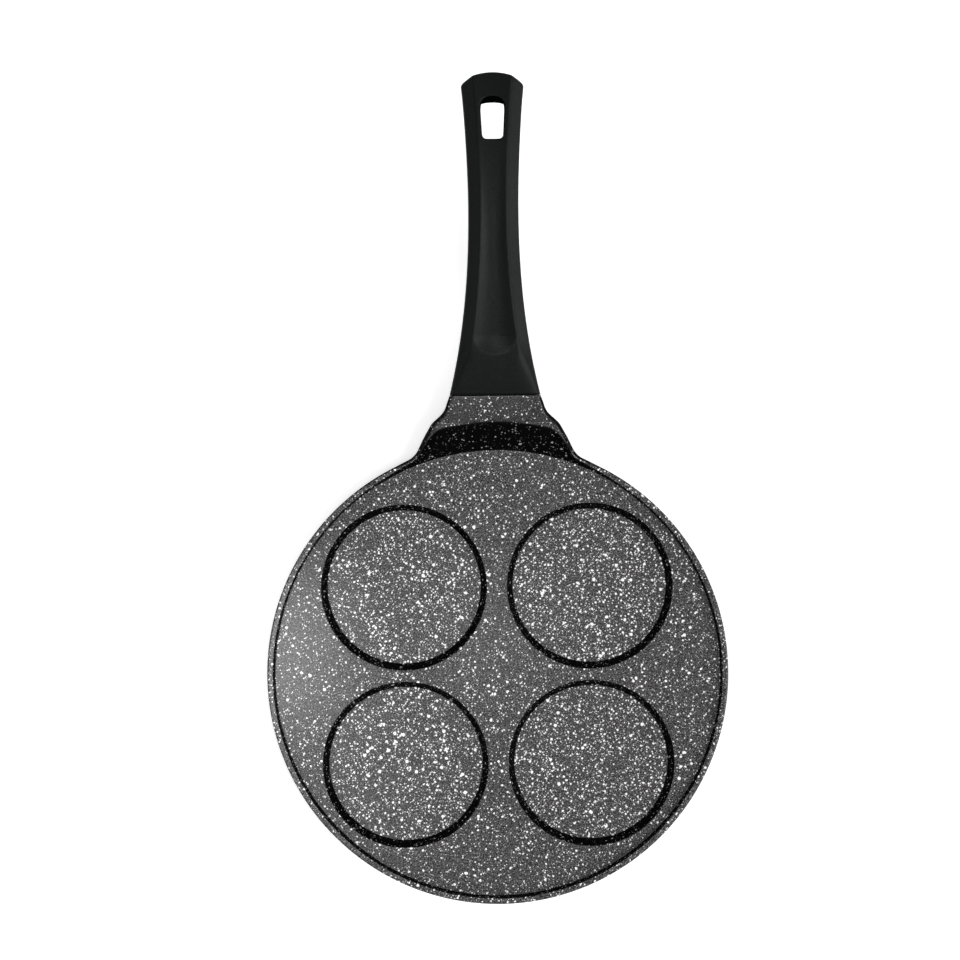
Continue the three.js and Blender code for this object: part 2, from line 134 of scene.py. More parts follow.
# Hanging slot
SLOT_LENGTH = 22.9
SLOT_FAR_HALF = 6.65
SLOT_NEAR_HALF = 5.65
SLOT_ARCH = 5.0
SLOT_ARCH_BELOW = 1.6
SLOT_FAR_DRAFT = 1.0
SLOT_CORNER = 2.6
SLOT_END_WALL = 13.3
SLOT_LIP = 0.7
SLOT_WALL_UPRIGHT = 0.7

# Tang, screw and washers
TANG_HALF = 15.0
TANG_HEIGHT = 7.0
TANG_LENGTH = 34.0
TANG_ROOT = 11.0
TANG_CORNER = 2.0
TANG_END_RUN = 1.0
TANG_END_SHARE = 0.96
FIT = 0.3
STACK = 0.1
SCREW_DISTANCE = 17.0
SCREW_RADIUS = 2.5
SCREW_BORE = 2.8
THREAD_PITCH = 0.8
THREAD_DEPTH = 0.42
HEAD_RADIUS = 4.5
HEAD_HEIGHT = 2.2
HEAD_ROUND = 0.8
TIP_CHAMFER = 0.6
TIP_MARGIN = 1.0
SEAT_WALL = 2.2
RECESS_HALF_LENGTH = 2.3
RECESS_HALF_WIDTH = 0.55
RECESS_DEPTH = 1.3
RECESS_SLOPE = 0.3
WASHER_RADIUS = 5.0
WASHER_THICKNESS = 0.8
WASHER_ROUND = 0.15
SPRING_WIDTH = 1.5
SPRING_THICKNESS = 1.0
SPRING_SLIT = math.radians(9)
HEAD_BORE_LIP = 0.5
HEAD_BORE_COLLAR = 3

# Induction plate
PLATE_RADIUS = 95.0
PLATE_THICKNESS = 0.8
PLATE_EDGE = 0.15
HOLE_RADIUS = 4.0
HOLE_RING_STEP = 26.0
HOLE_RINGS = 3
HOLES_PER_RING = 6
TURNED_RADIUS = 113.0
TURNED_STEP = 1.0

# Levels and distances that follow
BASE = PLATE_PROUD
WELL_FLOOR = BASE + FLOOR_THICKNESS
COOKING = WELL_FLOOR + WELL_DEPTH
RIM = COOKING + RIM_STEP
RIM_OUTER = RIM_FOOT + RIM_DRAFT + RIM_LAND
BASE_RADIUS = RIM_OUTER - SIDE_FLARE
SEAM_Y = RIM_OUTER + NECK_LENGTH
SEAM_TOP = RIM + SEAM_RISE
SEAM_BOTTOM = SEAM_TOP - SEAM_THICKNESS
SEAM_MIDDLE = (SEAM_TOP + SEAM_BOTTOM) / 2
HANDLE_Y = SEAM_Y + SEAM_GAP
END_TOP = SEAM_TOP + HANDLE_RISE
END_BOTTOM = END_TOP - END_THICKNESS
LEAVE_Y = RIM_OUTER * math.cos(NECK_SPREAD)
SHOULDER_Y = SEAM_Y - FLANK_SHOULDER[1]
FLAT_RADIUS = RIM_FOOT - FLAT_MARGIN
UNDER_START = BASE_RADIUS - UNDER_MARGIN

# Numerical limits and counts of steps
FAR_OUT = 1000.0
LEAST_SINE = 1e-6
HEIGHT_SLACK = 1e-9
RADIUS_SLACK = 2e-7
HALVINGS = 30
CLOSE_POINTS = 4000
NEIGHBOURS = 6
CORNER_STEPS = 8


def smoothstep(value, low, high):
    """0 below low, 1 above high, and the cubic 3t^2 - 2t^3 between them."""
    t = np.clip((value - low) / (high - low), 0, 1)
    return t * t * (3 - 2 * t)


def mixed(first, second, share):
    """The value that lies a share of the way from first to second."""
    return first + (second - first) * share


def rounded_path(corners, steps):
    """Points along straight runs between corners (a, b, setback); each corner is the quadratic curve
    that leaves one run a setback before the corner and joins the next one a setback after it."""
    places = np.array([c[:2] for c in corners], float)
    t = np.linspace(0, 1, steps + 1)[:, None]
    runs = []
    for i, (_, _, setback) in enumerate(corners):
        corner = places[i]
        if setback == 0:
            runs.append(corner[None])
            continue
        before = places[i - 1] - corner
        after = places[(i + 1) % len(places)] - corner
        start = corner + before * (setback / np.linalg.norm(before))
        end = corner + after * (setback / np.linalg.norm(after))
        runs.append((1 - t) ** 2 * start + 2 * t * (1 - t) * corner + t * t * end)
    return np.concatenate(runs)


def radius_at(path, angles):
    """Distance of a closed path from its middle at each angle: close points are laid along its runs and
    read off by their angle."""
    path = np.concatenate([path, path[:1]])
    along = np.concatenate([[0], np.cumsum(np.hypot(*np.diff(path, axis=0).T))])
    close = np.linspace(0, along[-1], CLOSE_POINTS, endpoint=False)
    x, y = np.interp(close, along, path[:, 0]), np.interp(close, along, path[:, 1])
    turn = np.unwrap(np.arctan2(y, x))
    turns = np.concatenate([turn - 2 * math.pi, turn, turn + 2 * math.pi])
    return np.interp(angles, turns, np.tile(np.hypot(x, y), 3))


def rows_interpolated(wanted, known, values):
    """Linear interpolation of each row of values at each row of wanted, where known rises from 0 to 1:
    the rows are set end to end, two apart, so that one call reads them all."""
    shift = 2.0 * np.arange(len(known))[:, None]
    flat = np.interp((wanted + shift).ravel(), (known + shift).ravel(), values.ravel())
    return flat.reshape(wanted.shape)


def even_profiles(r, z, count, turn_weight):
    """Each row of (r, z) is a curve. It is drawn again with count points, spaced evenly by the length
    run plus turn_weight times the angle turned, so that small rounds keep their points. The spacing is
    averaged over neighbouring curves, so that it changes slowly from one to the next."""
    run = np.hypot(np.diff(r), np.diff(z))
    heading = np.unwrap(np.arctan2(np.diff(z), np.diff(r)), axis=1)
    turn = np.abs(np.diff(heading, axis=1, prepend=heading[:, :1]))
    measure = np.cumsum(run + turn_weight * turn, axis=1)
    measure = np.concatenate([np.zeros((len(r), 1)), measure], axis=1) / measure[:, -1:]
    padded = np.pad(measure, ((NEIGHBOURS, NEIGHBOURS), (0, 0)), mode="edge")
    measure = np.lib.stride_tricks.sliding_window_view(padded, 2 * NEIGHBOURS + 1, axis=0).mean(axis=-1)
    wanted = np.tile(np.linspace(0, 1, count), (len(r), 1))
    return rows_interpolated(wanted, measure, r), rows_interpolated(wanted, measure, z)


def surface(points, closed=False, keep=None):
    """A grid of points [rows, columns, 3] as vertices and four-cornered faces. A closed grid joins its
    last column to its first; keep marks the faces that stay."""
    rows, columns = points.shape[:2]
    row, column = np.meshgrid(np.arange(rows - 1), np.arange(columns - (not closed)), indexing="ij")
    following = (column + 1) % columns
    corners = (row * columns + column, row * columns + following,
               (row + 1) * columns + following, (row + 1) * columns + column)
    faces = np.stack(corners, axis=-1)
    faces = faces.reshape(-1, 4) if keep is None else faces[keep]
    return points.reshape(-1, 3), faces


def in_scene(name, data):
    """A new object with that data, linked into the scene."""
    made = bpy.data.objects.new(name, data)
    bpy.context.scene.collection.objects.link(made)
    return made


def piece(name, node, materials, surfaces):
    """One object from several surfaces: equal points are merged, faces are turned outwards, and it
    rides on the root in place of its CAD node."""
    offsets = np.cumsum([0] + [len(points) for points, _ in surfaces])
    points = np.concatenate([points for points, _ in surfaces]) * MM
    faces = np.concatenate([faces + offset for (_, faces), offset in zip(surfaces, offsets)])
    mesh = bpy.data.meshes.new(name)
    mesh.from_pydata(points, [], faces.tolist())
    work = bmesh.new()
    work.from_mesh(mesh)
    bmesh.ops.remove_doubles(work, verts=work.verts, dist=MERGE_DISTANCE)
    bmesh.ops.dissolve_degenerate(work, edges=work.edges, dist=MERGE_DISTANCE)
    bmesh.ops.recalc_face_normals(work, faces=work.faces)
    work.to_mesh(mesh)
    work.free()
    mesh.shade_smooth()
    mesh.set_sharp_from_angle(angle=SHARP_ANGLE)
    for material in materials:
        mesh.materials.append(material)
    made = in_scene(name, mesh)
    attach(made, "root")
    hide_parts(node)
    return made


def vertex_places(mesh):
    """The mesh's vertex coordinates in millimetres, as an array [count, 3]."""
    places = np.empty(3 * len(mesh.vertices), np.float32)
    mesh.vertices.foreach_get("co", places)
    return places.reshape(-1, 3) / MM


# The casting: its plan outline, its top and its underside as heights over the plan

FLANK_CORNER_STEPS = 12
FOOT_X = SEAM_HALF + FLANK_FOOT[0]
FLANK = rounded_path([
    (RIM_OUTER * math.sin(NECK_SPREAD) - RIM_EDGE, LEAVE_Y, 0),
    (FOOT_X, math.sqrt((RIM_OUTER + FLANK_FOOT[1]) ** 2 - FOOT_X ** 2), FLANK_FOOT[2]),
    (SEAM_HALF + FLANK_SHOULDER[0], SHOULDER_Y, FLANK_SHOULDER[2]),
    (SEAM_HALF + FLANK_WAIST[0], SEAM_Y - FLANK_WAIST[1], FLANK_WAIST[2]),
    (SEAM_HALF, SEAM_Y, 0),
], FLANK_CORNER_STEPS)
FLANK_LEAN = np.gradient(FLANK[:, 0], FLANK[:, 1])


def neck_top(y):
    """Height of the neck's top: a smooth rise from the rim to the shoulder, then a straight one to the
    seam."""
    low = RIM - RIM_EDGE / 2
    front = RIM + NECK_RISE
    rise = mixed(low, front, smoothstep(y, LEAVE_Y, SHOULDER_Y))
    ramp = mixed(front, SEAM_TOP, (y - SHOULDER_Y) / (SEAM_Y - SHOULDER_Y))
    return np.where(y > SHOULDER_Y, ramp, rise)


def land_level(y):
    """Height of the rim's land, which becomes the neck's top: the larger of the two, softly."""
    neck = neck_top(y)
    larger = (RIM + neck + np.sqrt((RIM - neck) ** 2 + LAND_SOFTNESS ** 2)) / 2
    return larger - LAND_SOFTNESS / 2 * (neck < RIM)


def seam_drop(y):
    """How far the neck's top and underside are drawn in at the seam: a small quarter round."""
    lip = np.clip(SEAM_LIP - (SEAM_Y - y), 0, SEAM_LIP)
    return SEAM_LIP - np.sqrt(SEAM_LIP ** 2 - lip ** 2)


def edge_round(y):
    """Radius of the outer edge: the rim's, then a wide one beside the neck's front, then the seam's."""
    front = mixed(RIM_EDGE, NECK_EDGE, smoothstep(y, LEAVE_Y, LEAVE_Y + NECK_EDGE_RUN))
    return mixed(front, SEAM_EDGE, smoothstep(y, SHOULDER_Y, SEAM_Y))


def land_width(y):
    """Width of the land between the outline and the inner wall: the rim's, then a narrower one at the
    neck."""
    share = smoothstep(y, LEAVE_Y - NECK_LAND_BEFORE, LEAVE_Y + NECK_LAND_PAST)
    return mixed(RIM_LAND, NECK_LAND, share)


def inside_outline(x, y, r):
    """Distance in from the outline: from the rim's circle, or from the neck's flank where that is more."""
    half = np.interp(y, FLANK[:, 1], FLANK[:, 0])
    lean = np.interp(y, FLANK[:, 1], FLANK_LEAN)
    flank = (half - np.abs(x)) / np.sqrt(1 + lean ** 2)
    return np.maximum(RIM_OUTER - r, np.where(y > LEAVE_Y, flank, -FAR_OUT))


def filleted(a, b, radius):
    """Distance to two solids joined, with a round of that radius filling the corner between them."""
    fill = np.hypot(np.maximum(radius - a, 0), np.maximum(radius - b, 0))
    return np.maximum(radius, np.minimum(a, b)) - fill


def rounded(a, b, radius):
    """Distance to what two solids share, with its edge rounded to that radius."""
    cut = np.hypot(np.maximum(radius + a, 0), np.maximum(radius + b, 0))
    return np.minimum(-radius, np.maximum(a, b)) + cut


FRONT_SLOPE = (float(neck_top(np.array(RIM_FOOT + NECK_FRONT_RUN))) - COOKING) / NECK_FRONT_RUN


def casting_top(x, y, r):
    """Height of the casting's top over the plan. The open inside is the space over the cooking surface,
    over the cone that rises to the neck and within the drafted wall that follows the outline at the
    land's width; the solid is what lies under the land and outside that space. Its surface is found by
    halving a range of heights until the distance is 0."""
    land = land_level(y) - seam_drop(y)
    edge = edge_round(y)
    inside = np.maximum(inside_outline(x, y, r), 0)
    width = land_width(y)
    cone = COOKING + FRONT_SLOPE * (r - RIM_FOOT)
    corner = FRONT_CORNER * smoothstep(y, LEAVE_Y, SHOULDER_Y)
    low = np.zeros_like(r)
    high = np.full_like(r, 2 * SEAM_TOP)
    for _ in range(HALVINGS):
        z = (low + high) / 2
        front = (z - cone) / math.hypot(1, FRONT_SLOPE)
        wall = inside - width - RIM_DRAFT * (land - z) / RIM_STEP
        space = filleted(z - COOKING, filleted(front, wall, corner), RIM_FOOT_FILLET)
        over = rounded(rounded(z - land, space, RIM_CREST), -inside, edge)
        outside = over > HEIGHT_SLACK
        high = np.where(outside, z, high)
        low = np.where(outside, low, z)
    return high


def dish_underside(r):
    """Height of the dish's underside: flat, then the quadratic base round, then the flared side."""
    rise = RIM - RIM_EDGE - BASE
    run = math.hypot(SIDE_FLARE, rise)
    start = BASE_RADIUS - BASE_ROUND
    end = BASE_RADIUS + BASE_ROUND * SIDE_FLARE / run
    top = BASE + BASE_ROUND * rise / run
    a = start - 2 * BASE_RADIUS + end
    b = 2 * (BASE_RADIUS - start)
    t = (-b + np.sqrt(np.maximum(b * b - 4 * a * (start - r), 0))) / (2 * a)
    curve = BASE + (top - BASE) * np.clip(t, 0, 1) ** 2
    side = BASE + (r - BASE_RADIUS) * rise / SIDE_FLARE
    height = np.where(r > end, side, np.where(r > start, curve, BASE))
    return np.where(r > RIM_OUTER + RADIUS_SLACK, FAR_OUT, height)


def belly_height(share, side, bottom):
    """Height of a full belly at a share of its half width: with share = cos^p, it is side less
    (side - bottom) sin^p."""
    cosine = np.clip(share, 0, 1) ** (1 / BELLY_POWER)
    return side - (side - bottom) * np.sqrt(1 - cosine ** 2) ** BELLY_POWER


def casting_underside(x, y, r):
    """Height of the casting's underside: the lower of the dish's and the neck's, blended where they
    cross. The neck's starts a narrow strip under the outer edge's round, and its end is drawn up by a
    small lip at the seam."""
    half = np.interp(y, FLANK[:, 1], FLANK[:, 0])
    share = np.abs(x) / half
    side = land_level(y) - edge_round(y) - FLANK_STRIP
    neck = belly_height(share, side, SEAM_BOTTOM + seam_drop(y))
    neck = np.where((y > LEAVE_Y) & (share < 1 + OUTLINE_SLACK), neck, FAR_OUT)
    dish = dish_underside(r)
    reach = np.clip(inside_outline(x, y, r), LEAST_BLEND, UNDERSIDE_BLEND)
    share = np.clip(0.5 + (neck - dish) / (2 * reach), 0, 1)
    return mixed(neck, dish, share) - reach * share * (1 - share)


DISH_STEP = math.radians(1.5)
FLANK_STEP = 0.7
SEAM_STEPS = 30
DENSE = 1200
TOP_ROWS = 56
SIDE_ROWS = 6
UNDER_ROWS = 32
TURN_WEIGHT = 4.0
SPLIT_ANGLE = -math.asin(WELL_SHIFT / FLAT_RADIUS)


def right_angles():
    """Polar angles of the grid's columns over the right half, from the near end of the dish to the
    middle of the seam, close together where the neck's outline is: in even steps along the outline."""
    leave = math.atan2(FLANK[0, 1], FLANK[0, 0])
    near = np.linspace(-math.pi / 2, SPLIT_ANGLE, round((SPLIT_ANGLE + math.pi / 2) / DISH_STEP) + 1)
    side = np.linspace(SPLIT_ANGLE, leave, round((leave - SPLIT_ANGLE) / DISH_STEP) + 1)
    along = np.concatenate([[0], np.cumsum(np.hypot(*np.diff(FLANK, axis=0).T))])
    wanted = np.linspace(0, along[-1], round(along[-1] / FLANK_STEP) + 1)
    flank_x = np.interp(wanted, along, FLANK[:, 0])
    flank_y = np.interp(wanted, along, FLANK[:, 1])
    seam_x = np.linspace(SEAM_HALF, 0, SEAM_STEPS + 1)
    seam = np.arctan2(SEAM_Y, seam_x)
    return np.concatenate([near[:-1], side[:-1], np.arctan2(flank_y, flank_x)[:-1], seam])


def outline_radius(angles):
    """Distance of the outline from the axis: the rim's circle, the neck's flank or the seam's line."""
    flank_angle = np.arctan2(FLANK[:, 1], FLANK[:, 0])
    flank = np.interp(angles, flank_angle, np.hypot(*FLANK.T), left=0)
    seam = SEAM_Y / np.maximum(np.sin(angles), LEAST_SINE)
    radius = np.where(angles > flank_angle[-1], seam, flank)
    return np.maximum(radius, RIM_OUTER)


def mirrored(points):
    """A half grid [rows, columns, 3] with its left half added, so that its columns run right round."""
    return np.concatenate([points, points[:, -2:0:-1] * (-1, 1, 1)], axis=1)


def casting_ring(angles):
    """The rim, the neck and the base as one grid round the axis: each column is a profile that runs
    out over the top, down the outer face and back under the casting to its middle."""
    outer = outline_radius(angles)[:, None]
    cosine, sine = np.cos(angles)[:, None], np.sin(angles)[:, None]
    t = 1 - (1 - np.linspace(0, 1, DENSE)) ** 2
    r = mixed(FLAT_RADIUS, outer, t)
    top = even_profiles(r, casting_top(r * cosine, r * sine, r), TOP_ROWS, TURN_WEIGHT)
    r = mixed(UNDER_START, outer, t)[:, ::-1]
    z = np.minimum(casting_underside(r * cosine, r * sine, r), top[1][:, -1:])
    under = even_profiles(r, z, UNDER_ROWS, TURN_WEIGHT)
    drop = np.linspace(0, 1, SIDE_ROWS)[1:-1]
    side = np.tile(outer, (1, len(drop))), mixed(top[1][:, -1:], under[1][:, :1], drop)
    rest = np.array([
        (TURNED_RADIUS - TURNED_STEP, BASE),
        (PLATE_RADIUS + FIT + PLATE_EDGE, BASE),
        (PLATE_RADIUS + FIT, BASE + PLATE_EDGE),
        (PLATE_RADIUS + FIT, PLATE_THICKNESS + FIT),
        (PLATE_RADIUS / 2, PLATE_THICKNESS + FIT),
        (0, PLATE_THICKNESS + FIT),
    ])
    rest_r, rest_z = (np.tile(values, (len(angles), 1)) for values in rest.T)
    r = np.concatenate([top[0], side[0], under[0], rest_r], axis=1)
    z = np.concatenate([top[1], side[1], under[1], rest_z], axis=1)
    return np.stack([r * cosine, r * sine, z], axis=-1).swapaxes(0, 1)


CROSS_STEPS = 44
LAND_SHARES = np.array([0, 0.012, 0.04, 0.12, 0.35, 0.7, 1])
FLOOR_SHARES = np.array([0, 0.2, 0.5, 0.8, 0.94, 0.985])
WELL_STEPS = 8


def quarter(angles, side, end):
    """One quarter of the inside. The well is turned about its own axis: its profile is the floor, a
    round, the steep wall and a round to the mouth. The land fills from the mouth to the quarter's
    border, a share of the way along each ray."""
    arc = np.stack([np.cos(angles), np.sin(angles)], axis=-1) * FLAT_RADIUS
    arc = arc if end > 0 else arc[::-1]
    down = np.linspace(arc[-1, 1], -WELL_SHIFT, CROSS_STEPS)[1:]
    across = np.linspace(0, arc[0, 0], CROSS_STEPS)[1:-1]
    middle = np.stack([np.zeros_like(down), down], axis=-1)
    crossing = np.stack([across, np.full_like(across, -WELL_SHIFT)], axis=-1)
    border = np.concatenate([arc, middle, crossing])
    centre = np.array([WELL_ACROSS, end * WELL_ALONG - WELL_SHIFT])
    ray = border - centre
    ray /= np.linalg.norm(ray, axis=1, keepdims=True)
    wall_top = WELL_MOUTH - WELL_ROUND
    wall_foot = wall_top - WELL_WALL_RUN
    bend = rounded_path([
        (0, WELL_FLOOR, 0),
        (wall_foot, WELL_FLOOR, WELL_ROUND),
        (wall_top, COOKING, WELL_ROUND),
        (WELL_MOUTH, COOKING, 0),
    ], WELL_STEPS)[1:]
    floor = np.stack([FLOOR_SHARES * bend[0, 0], np.full_like(FLOOR_SHARES, WELL_FLOOR)], axis=-1)
    profile = np.concatenate([floor, bend])
    well = centre + ray * profile[:, :1, None]
    land = mixed(centre + ray * WELL_MOUTH, border, LAND_SHARES[1:, None, None])
    plan = np.concatenate([well, land]) * (side, 1)
    height = np.concatenate([profile[:, 1], np.full(len(land), COOKING)])
    height = np.tile(height[:, None, None], (1, len(border), 1))
    return np.concatenate([plan, height], axis=-1)


def hole_centres():
    """Plan centres of the plate's holes: even rings, each with as many holes more than the one before,
    the first of each on +x."""
    rings = np.arange(1, HOLE_RINGS + 1)
    counts = HOLES_PER_RING * rings
    angle = np.concatenate([np.arange(count) * (2 * math.pi / count) for count in counts])
    radius = np.repeat(rings * HOLE_RING_STEP, counts)
    return np.stack([radius * np.cos(angle), radius * np.sin(angle)], axis=-1)


def turned_grid(profile, steps):
    """A profile of (radius, height) points turned about z: a grid whose columns go round."""
    angle = np.linspace(0, 2 * math.pi, steps, endpoint=False)
    profile = np.asarray(profile, float)
    radius, height = profile[:, :1], np.tile(profile[:, 1:], (1, steps))
    return np.stack([radius * np.cos(angle), radius * np.sin(angle), height], axis=-1)


NUB_STEPS = 20


def plate_nubs():
    """The casting's metal in the plate's holes: a flat puck with a small chamfer, once in each hole."""
    radius = HOLE_RADIUS - FIT
    puck = turned_grid([
        (0, BASE),
        (radius - PLATE_EDGE, BASE),
        (radius, BASE + PLATE_EDGE),
        (radius, 2 * PLATE_THICKNESS),
        (0, 2 * PLATE_THICKNESS),
    ], NUB_STEPS)
    centres = hole_centres()
    shifts = np.concatenate([centres, np.zeros((len(centres), 1))], axis=1)
    return [surface(puck + shift, closed=True) for shift in shifts]


def in_fastening(points):
    """Points of the fastening frame, tilted with the tang about the seam's middle, in the pan's frame."""
    x, y, z = np.moveaxis(points, -1, 0)
    cosine, sine = math.cos(TANG_TILT), math.sin(TANG_TILT)
    return np.stack([x, SEAM_Y + y * cosine - z * sine, SEAM_MIDDLE + y * sine + z * cosine], axis=-1)


def tang_outline(grown, angles):
    """Points on the tang's rounded rectangle at the given angles round its middle, grown by a gap."""
    half, rise = TANG_HALF + grown, TANG_HEIGHT / 2 + grown
    corners = [(half, -rise), (half, rise), (-half, rise), (-half, -rise)]
    path = rounded_path([(*corner, TANG_CORNER) for corner in corners], CORNER_STEPS)
    radius = radius_at(path, angles)
    return radius * np.cos(angles), radius * np.sin(angles)


TANG_COLUMNS = 96


def tang_shell():
    """The casting's tang: its rounded rectangle carried along the tilted axis and closed at both ends."""
    angles = np.linspace(0, 2 * math.pi, TANG_COLUMNS, endpoint=False)
    x, z = tang_outline(0, angles)
    shares = np.array([0, TANG_END_SHARE, 1, 1, TANG_END_SHARE, 0])[:, None]
    ends = np.array([-TANG_ROOT, -TANG_ROOT, -TANG_ROOT, TANG_LENGTH, TANG_LENGTH, TANG_LENGTH])
    places = ends + TANG_END_RUN * np.array([0, 0, 1, -1, 0, 0])
    y = np.tile(places[:, None], (1, TANG_COLUMNS))
    return surface(in_fastening(np.stack([shares * x, y, shares * z], axis=-1)), closed=True)


def casting_surfaces():
    """The casting's ring with its base, its four quarters with their wells, its tang and its nubs."""
    half_angles = right_angles()
    split = int(np.argmin(np.abs(half_angles - SPLIT_ANGLE)))
    grids = [mirrored(casting_ring(half_angles))]
    grids += [quarter(half_angles[split:], side, 1) for side in (-1, 1)]
    grids += [quarter(half_angles[:split + 1], side, -1) for side in (-1, 1)]
    return [surface(grid, closed=True) for grid in grids] + [tang_shell(), *plate_nubs()]


# The handle: sections carried along its length

TOP_POINTS = 14
ROUND_POINTS = 6
FACET_POINTS = 5
BELLY_POINTS = 30
BEND_ROUNDS = 8


def eased(distance, start, end, start_slope, end_slope):
    """A cubic along the handle from one height to another with the given slopes at its ends."""
    t = distance / HANDLE_LENGTH
    lift = start_slope * t * (1 - t) ** 2 - end_slope * t * t * (1 - t)
    return start + (end - start) * (3 - 2 * t) * t * t + HANDLE_LENGTH * lift


def handle_top(distance):
    """Height of the handle's ridges: a cubic that starts at the neck's slope and levels out."""
    return eased(distance, SEAM_TOP, END_TOP, TOP_SLOPE, END_SLOPE)


def handle_bottom(distance):
    """Height of the handle's lowest line."""
    return eased(distance, SEAM_BOTTOM, END_BOTTOM, UNDERSIDE_SLOPE, END_SLOPE)


def handle_half(distance):
    """Half width: the waist's, grown by a power of the distance towards the seam and towards the end."""
    past = distance - WAIST_DISTANCE
    to_seam = np.maximum(-past, 0) / WAIST_DISTANCE
    to_end = np.maximum(past, 0) / (HANDLE_LENGTH - WAIST_DISTANCE)
    seam_growth = (SEAM_HALF - WAIST_HALF) * to_seam ** SEAM_POWER
    end_growth = (END_HALF - WAIST_HALF) * to_end ** END_POWER
    return WAIST_HALF + seam_growth + end_growth


def facet(distance):
    """Width and drop of the facet between the ridge and the side, both growing from the seam's edge."""
    share = smoothstep(distance, 0, FACET_FADE)
    return mixed(SEAM_EDGE, FACET_WIDTH, share), mixed(SEAM_EDGE, FACET_DROP, share)


def groove_dip(distance, share):
    """Depth of the thumb groove: a parabola across, a rounded ramp at its start and shallower towards
    the slot."""
    scoop = GROOVE_START + GROOVE_ROUND
    to_start = np.maximum(scoop - distance, 0) / GROOVE_ROUND
    bowl = 1 - share ** 2 - to_start ** GROOVE_START_POWER
    bowl = (bowl + np.sqrt(bowl ** 2 + GROOVE_SOFTNESS ** 2)) / 2
    return GROOVE_DEPTH * mixed(1, GROOVE_REST, smoothstep(distance, scoop, GROOVE_FADE)) * bowl


def ridge_setbacks(distance, lean):
    """How far before and past the ridge its round runs: a long soft one near the seam, then a short one,
    and past the ridge no more than a share of the facet."""
    before = mixed(SOFT_RIDGE, RIDGE_ROUND, smoothstep(distance, SOFT_RIDGE_START, SOFT_RIDGE_END))
    return before, np.minimum(before, RIDGE_REACH * lean)


def corner_curve(start, corner, end, count):
    """The quadratic curve between two points with its handle at the corner, without its ends."""
    t = np.linspace(0, 1, count + 2)[1:-1, None]
    return tuple((1 - t) ** 2 * a + 2 * t * (1 - t) * b + t * t * c for a, b, c in zip(start, corner, end))


def handle_sections(distance):
    """Sections [stations, columns] of x and z at each distance from the seam: the grooved top, a round
    ridge, a flat facet, a round side and the belly, then the left half as its mirror image."""
    d = distance[None, :]
    half, top, bottom = handle_half(d), handle_top(d), handle_bottom(d)
    width, drop = facet(d)
    ridge, side = half - width, top - drop
    lean = np.hypot(width, drop)
    before, past = ridge_setbacks(d, lean)
    share = np.linspace(0, 1, TOP_POINTS)[:, None] * (1 - before / ridge)
    run = [(ridge * share, top - groove_dip(d, share))]
    after_ridge = ridge + width / lean * past, top - drop / lean * past
    run.append(corner_curve((run[0][0][-1:], run[0][1][-1:]), (ridge, top), after_ridge, ROUND_POINTS))
    setback = np.minimum(SIDE_ROUND, lean - past) * smoothstep(d, -SIDE_ROUND_FADE, SIDE_ROUND_FADE)
    before_side = half - width / lean * setback, side + drop / lean * setback
    t = np.linspace(0, 1, FACET_POINTS)[:, None]
    run.append((mixed(after_ridge[0], before_side[0], t), mixed(after_ridge[1], before_side[1], t)))
    first = np.arcsin((SIDE_ROUND / (side - bottom)) ** (1 / BELLY_POWER))
    angle = mixed(first, math.pi / 2, np.linspace(0, 1, BELLY_POINTS)[:, None])
    cosine = np.maximum(np.cos(angle), 0) ** BELLY_POWER
    belly = half * cosine, side - (side - bottom) * np.sin(angle) ** BELLY_POWER
    run.append(corner_curve(before_side, (half, side), (belly[0][:1], belly[1][:1]), ROUND_POINTS))
    run.append(belly)
    x, z = (np.concatenate([part + 0 * d for part in parts]) for parts in zip(*run))
    x = np.concatenate([x, -x[-2:0:-1]])
    z = np.concatenate([z, z[-2:0:-1]])
    return x.T, z.T


def drawn_in(x, z, amount):
    """A closed section moved inwards, square to itself, by an amount."""
    along_x = np.roll(x, -1, axis=-1) - np.roll(x, 1, axis=-1)
    along_z = np.roll(z, -1, axis=-1) - np.roll(z, 1, axis=-1)
    length = np.hypot(along_x, along_z)
    return x + amount * along_z / length, z - amount * along_x / length


def end_bend(distance):
    """How much of the end's arc a station has taken on."""
    return np.clip(distance / (HANDLE_LENGTH - END_ROUND), 0, 1) ** BEND_POWER


def arc_sag(x):
    """How far the end falls back at x: x^2 over twice its arc's radius, and a slant more on the
    facets."""
    return x * x / (2 * END_ARC) + END_CUT * np.maximum(np.abs(x) - END_HALF + FACET_WIDTH, 0)


def station_of(x, y):
    """Distance along the handle of a plan point, undoing the bend of the stations near the end."""
    distance = y - HANDLE_Y
    for _ in range(BEND_ROUNDS):
        distance = y - HANDLE_Y + end_bend(distance) * arc_sag(x)
    return distance


def top_at(x, y):
    """Height of the handle's grooved top over a plan point."""
    d = station_of(x, y)
    return handle_top(d) - groove_dip(d, np.abs(x) / (handle_half(d) - facet(d)[0]))


def belly_at(x, y):
    """Height of the handle's belly over a plan point."""
    d = station_of(x, y)
    return belly_height(np.abs(x) / handle_half(d), handle_top(d) - facet(d)[1], handle_bottom(d))


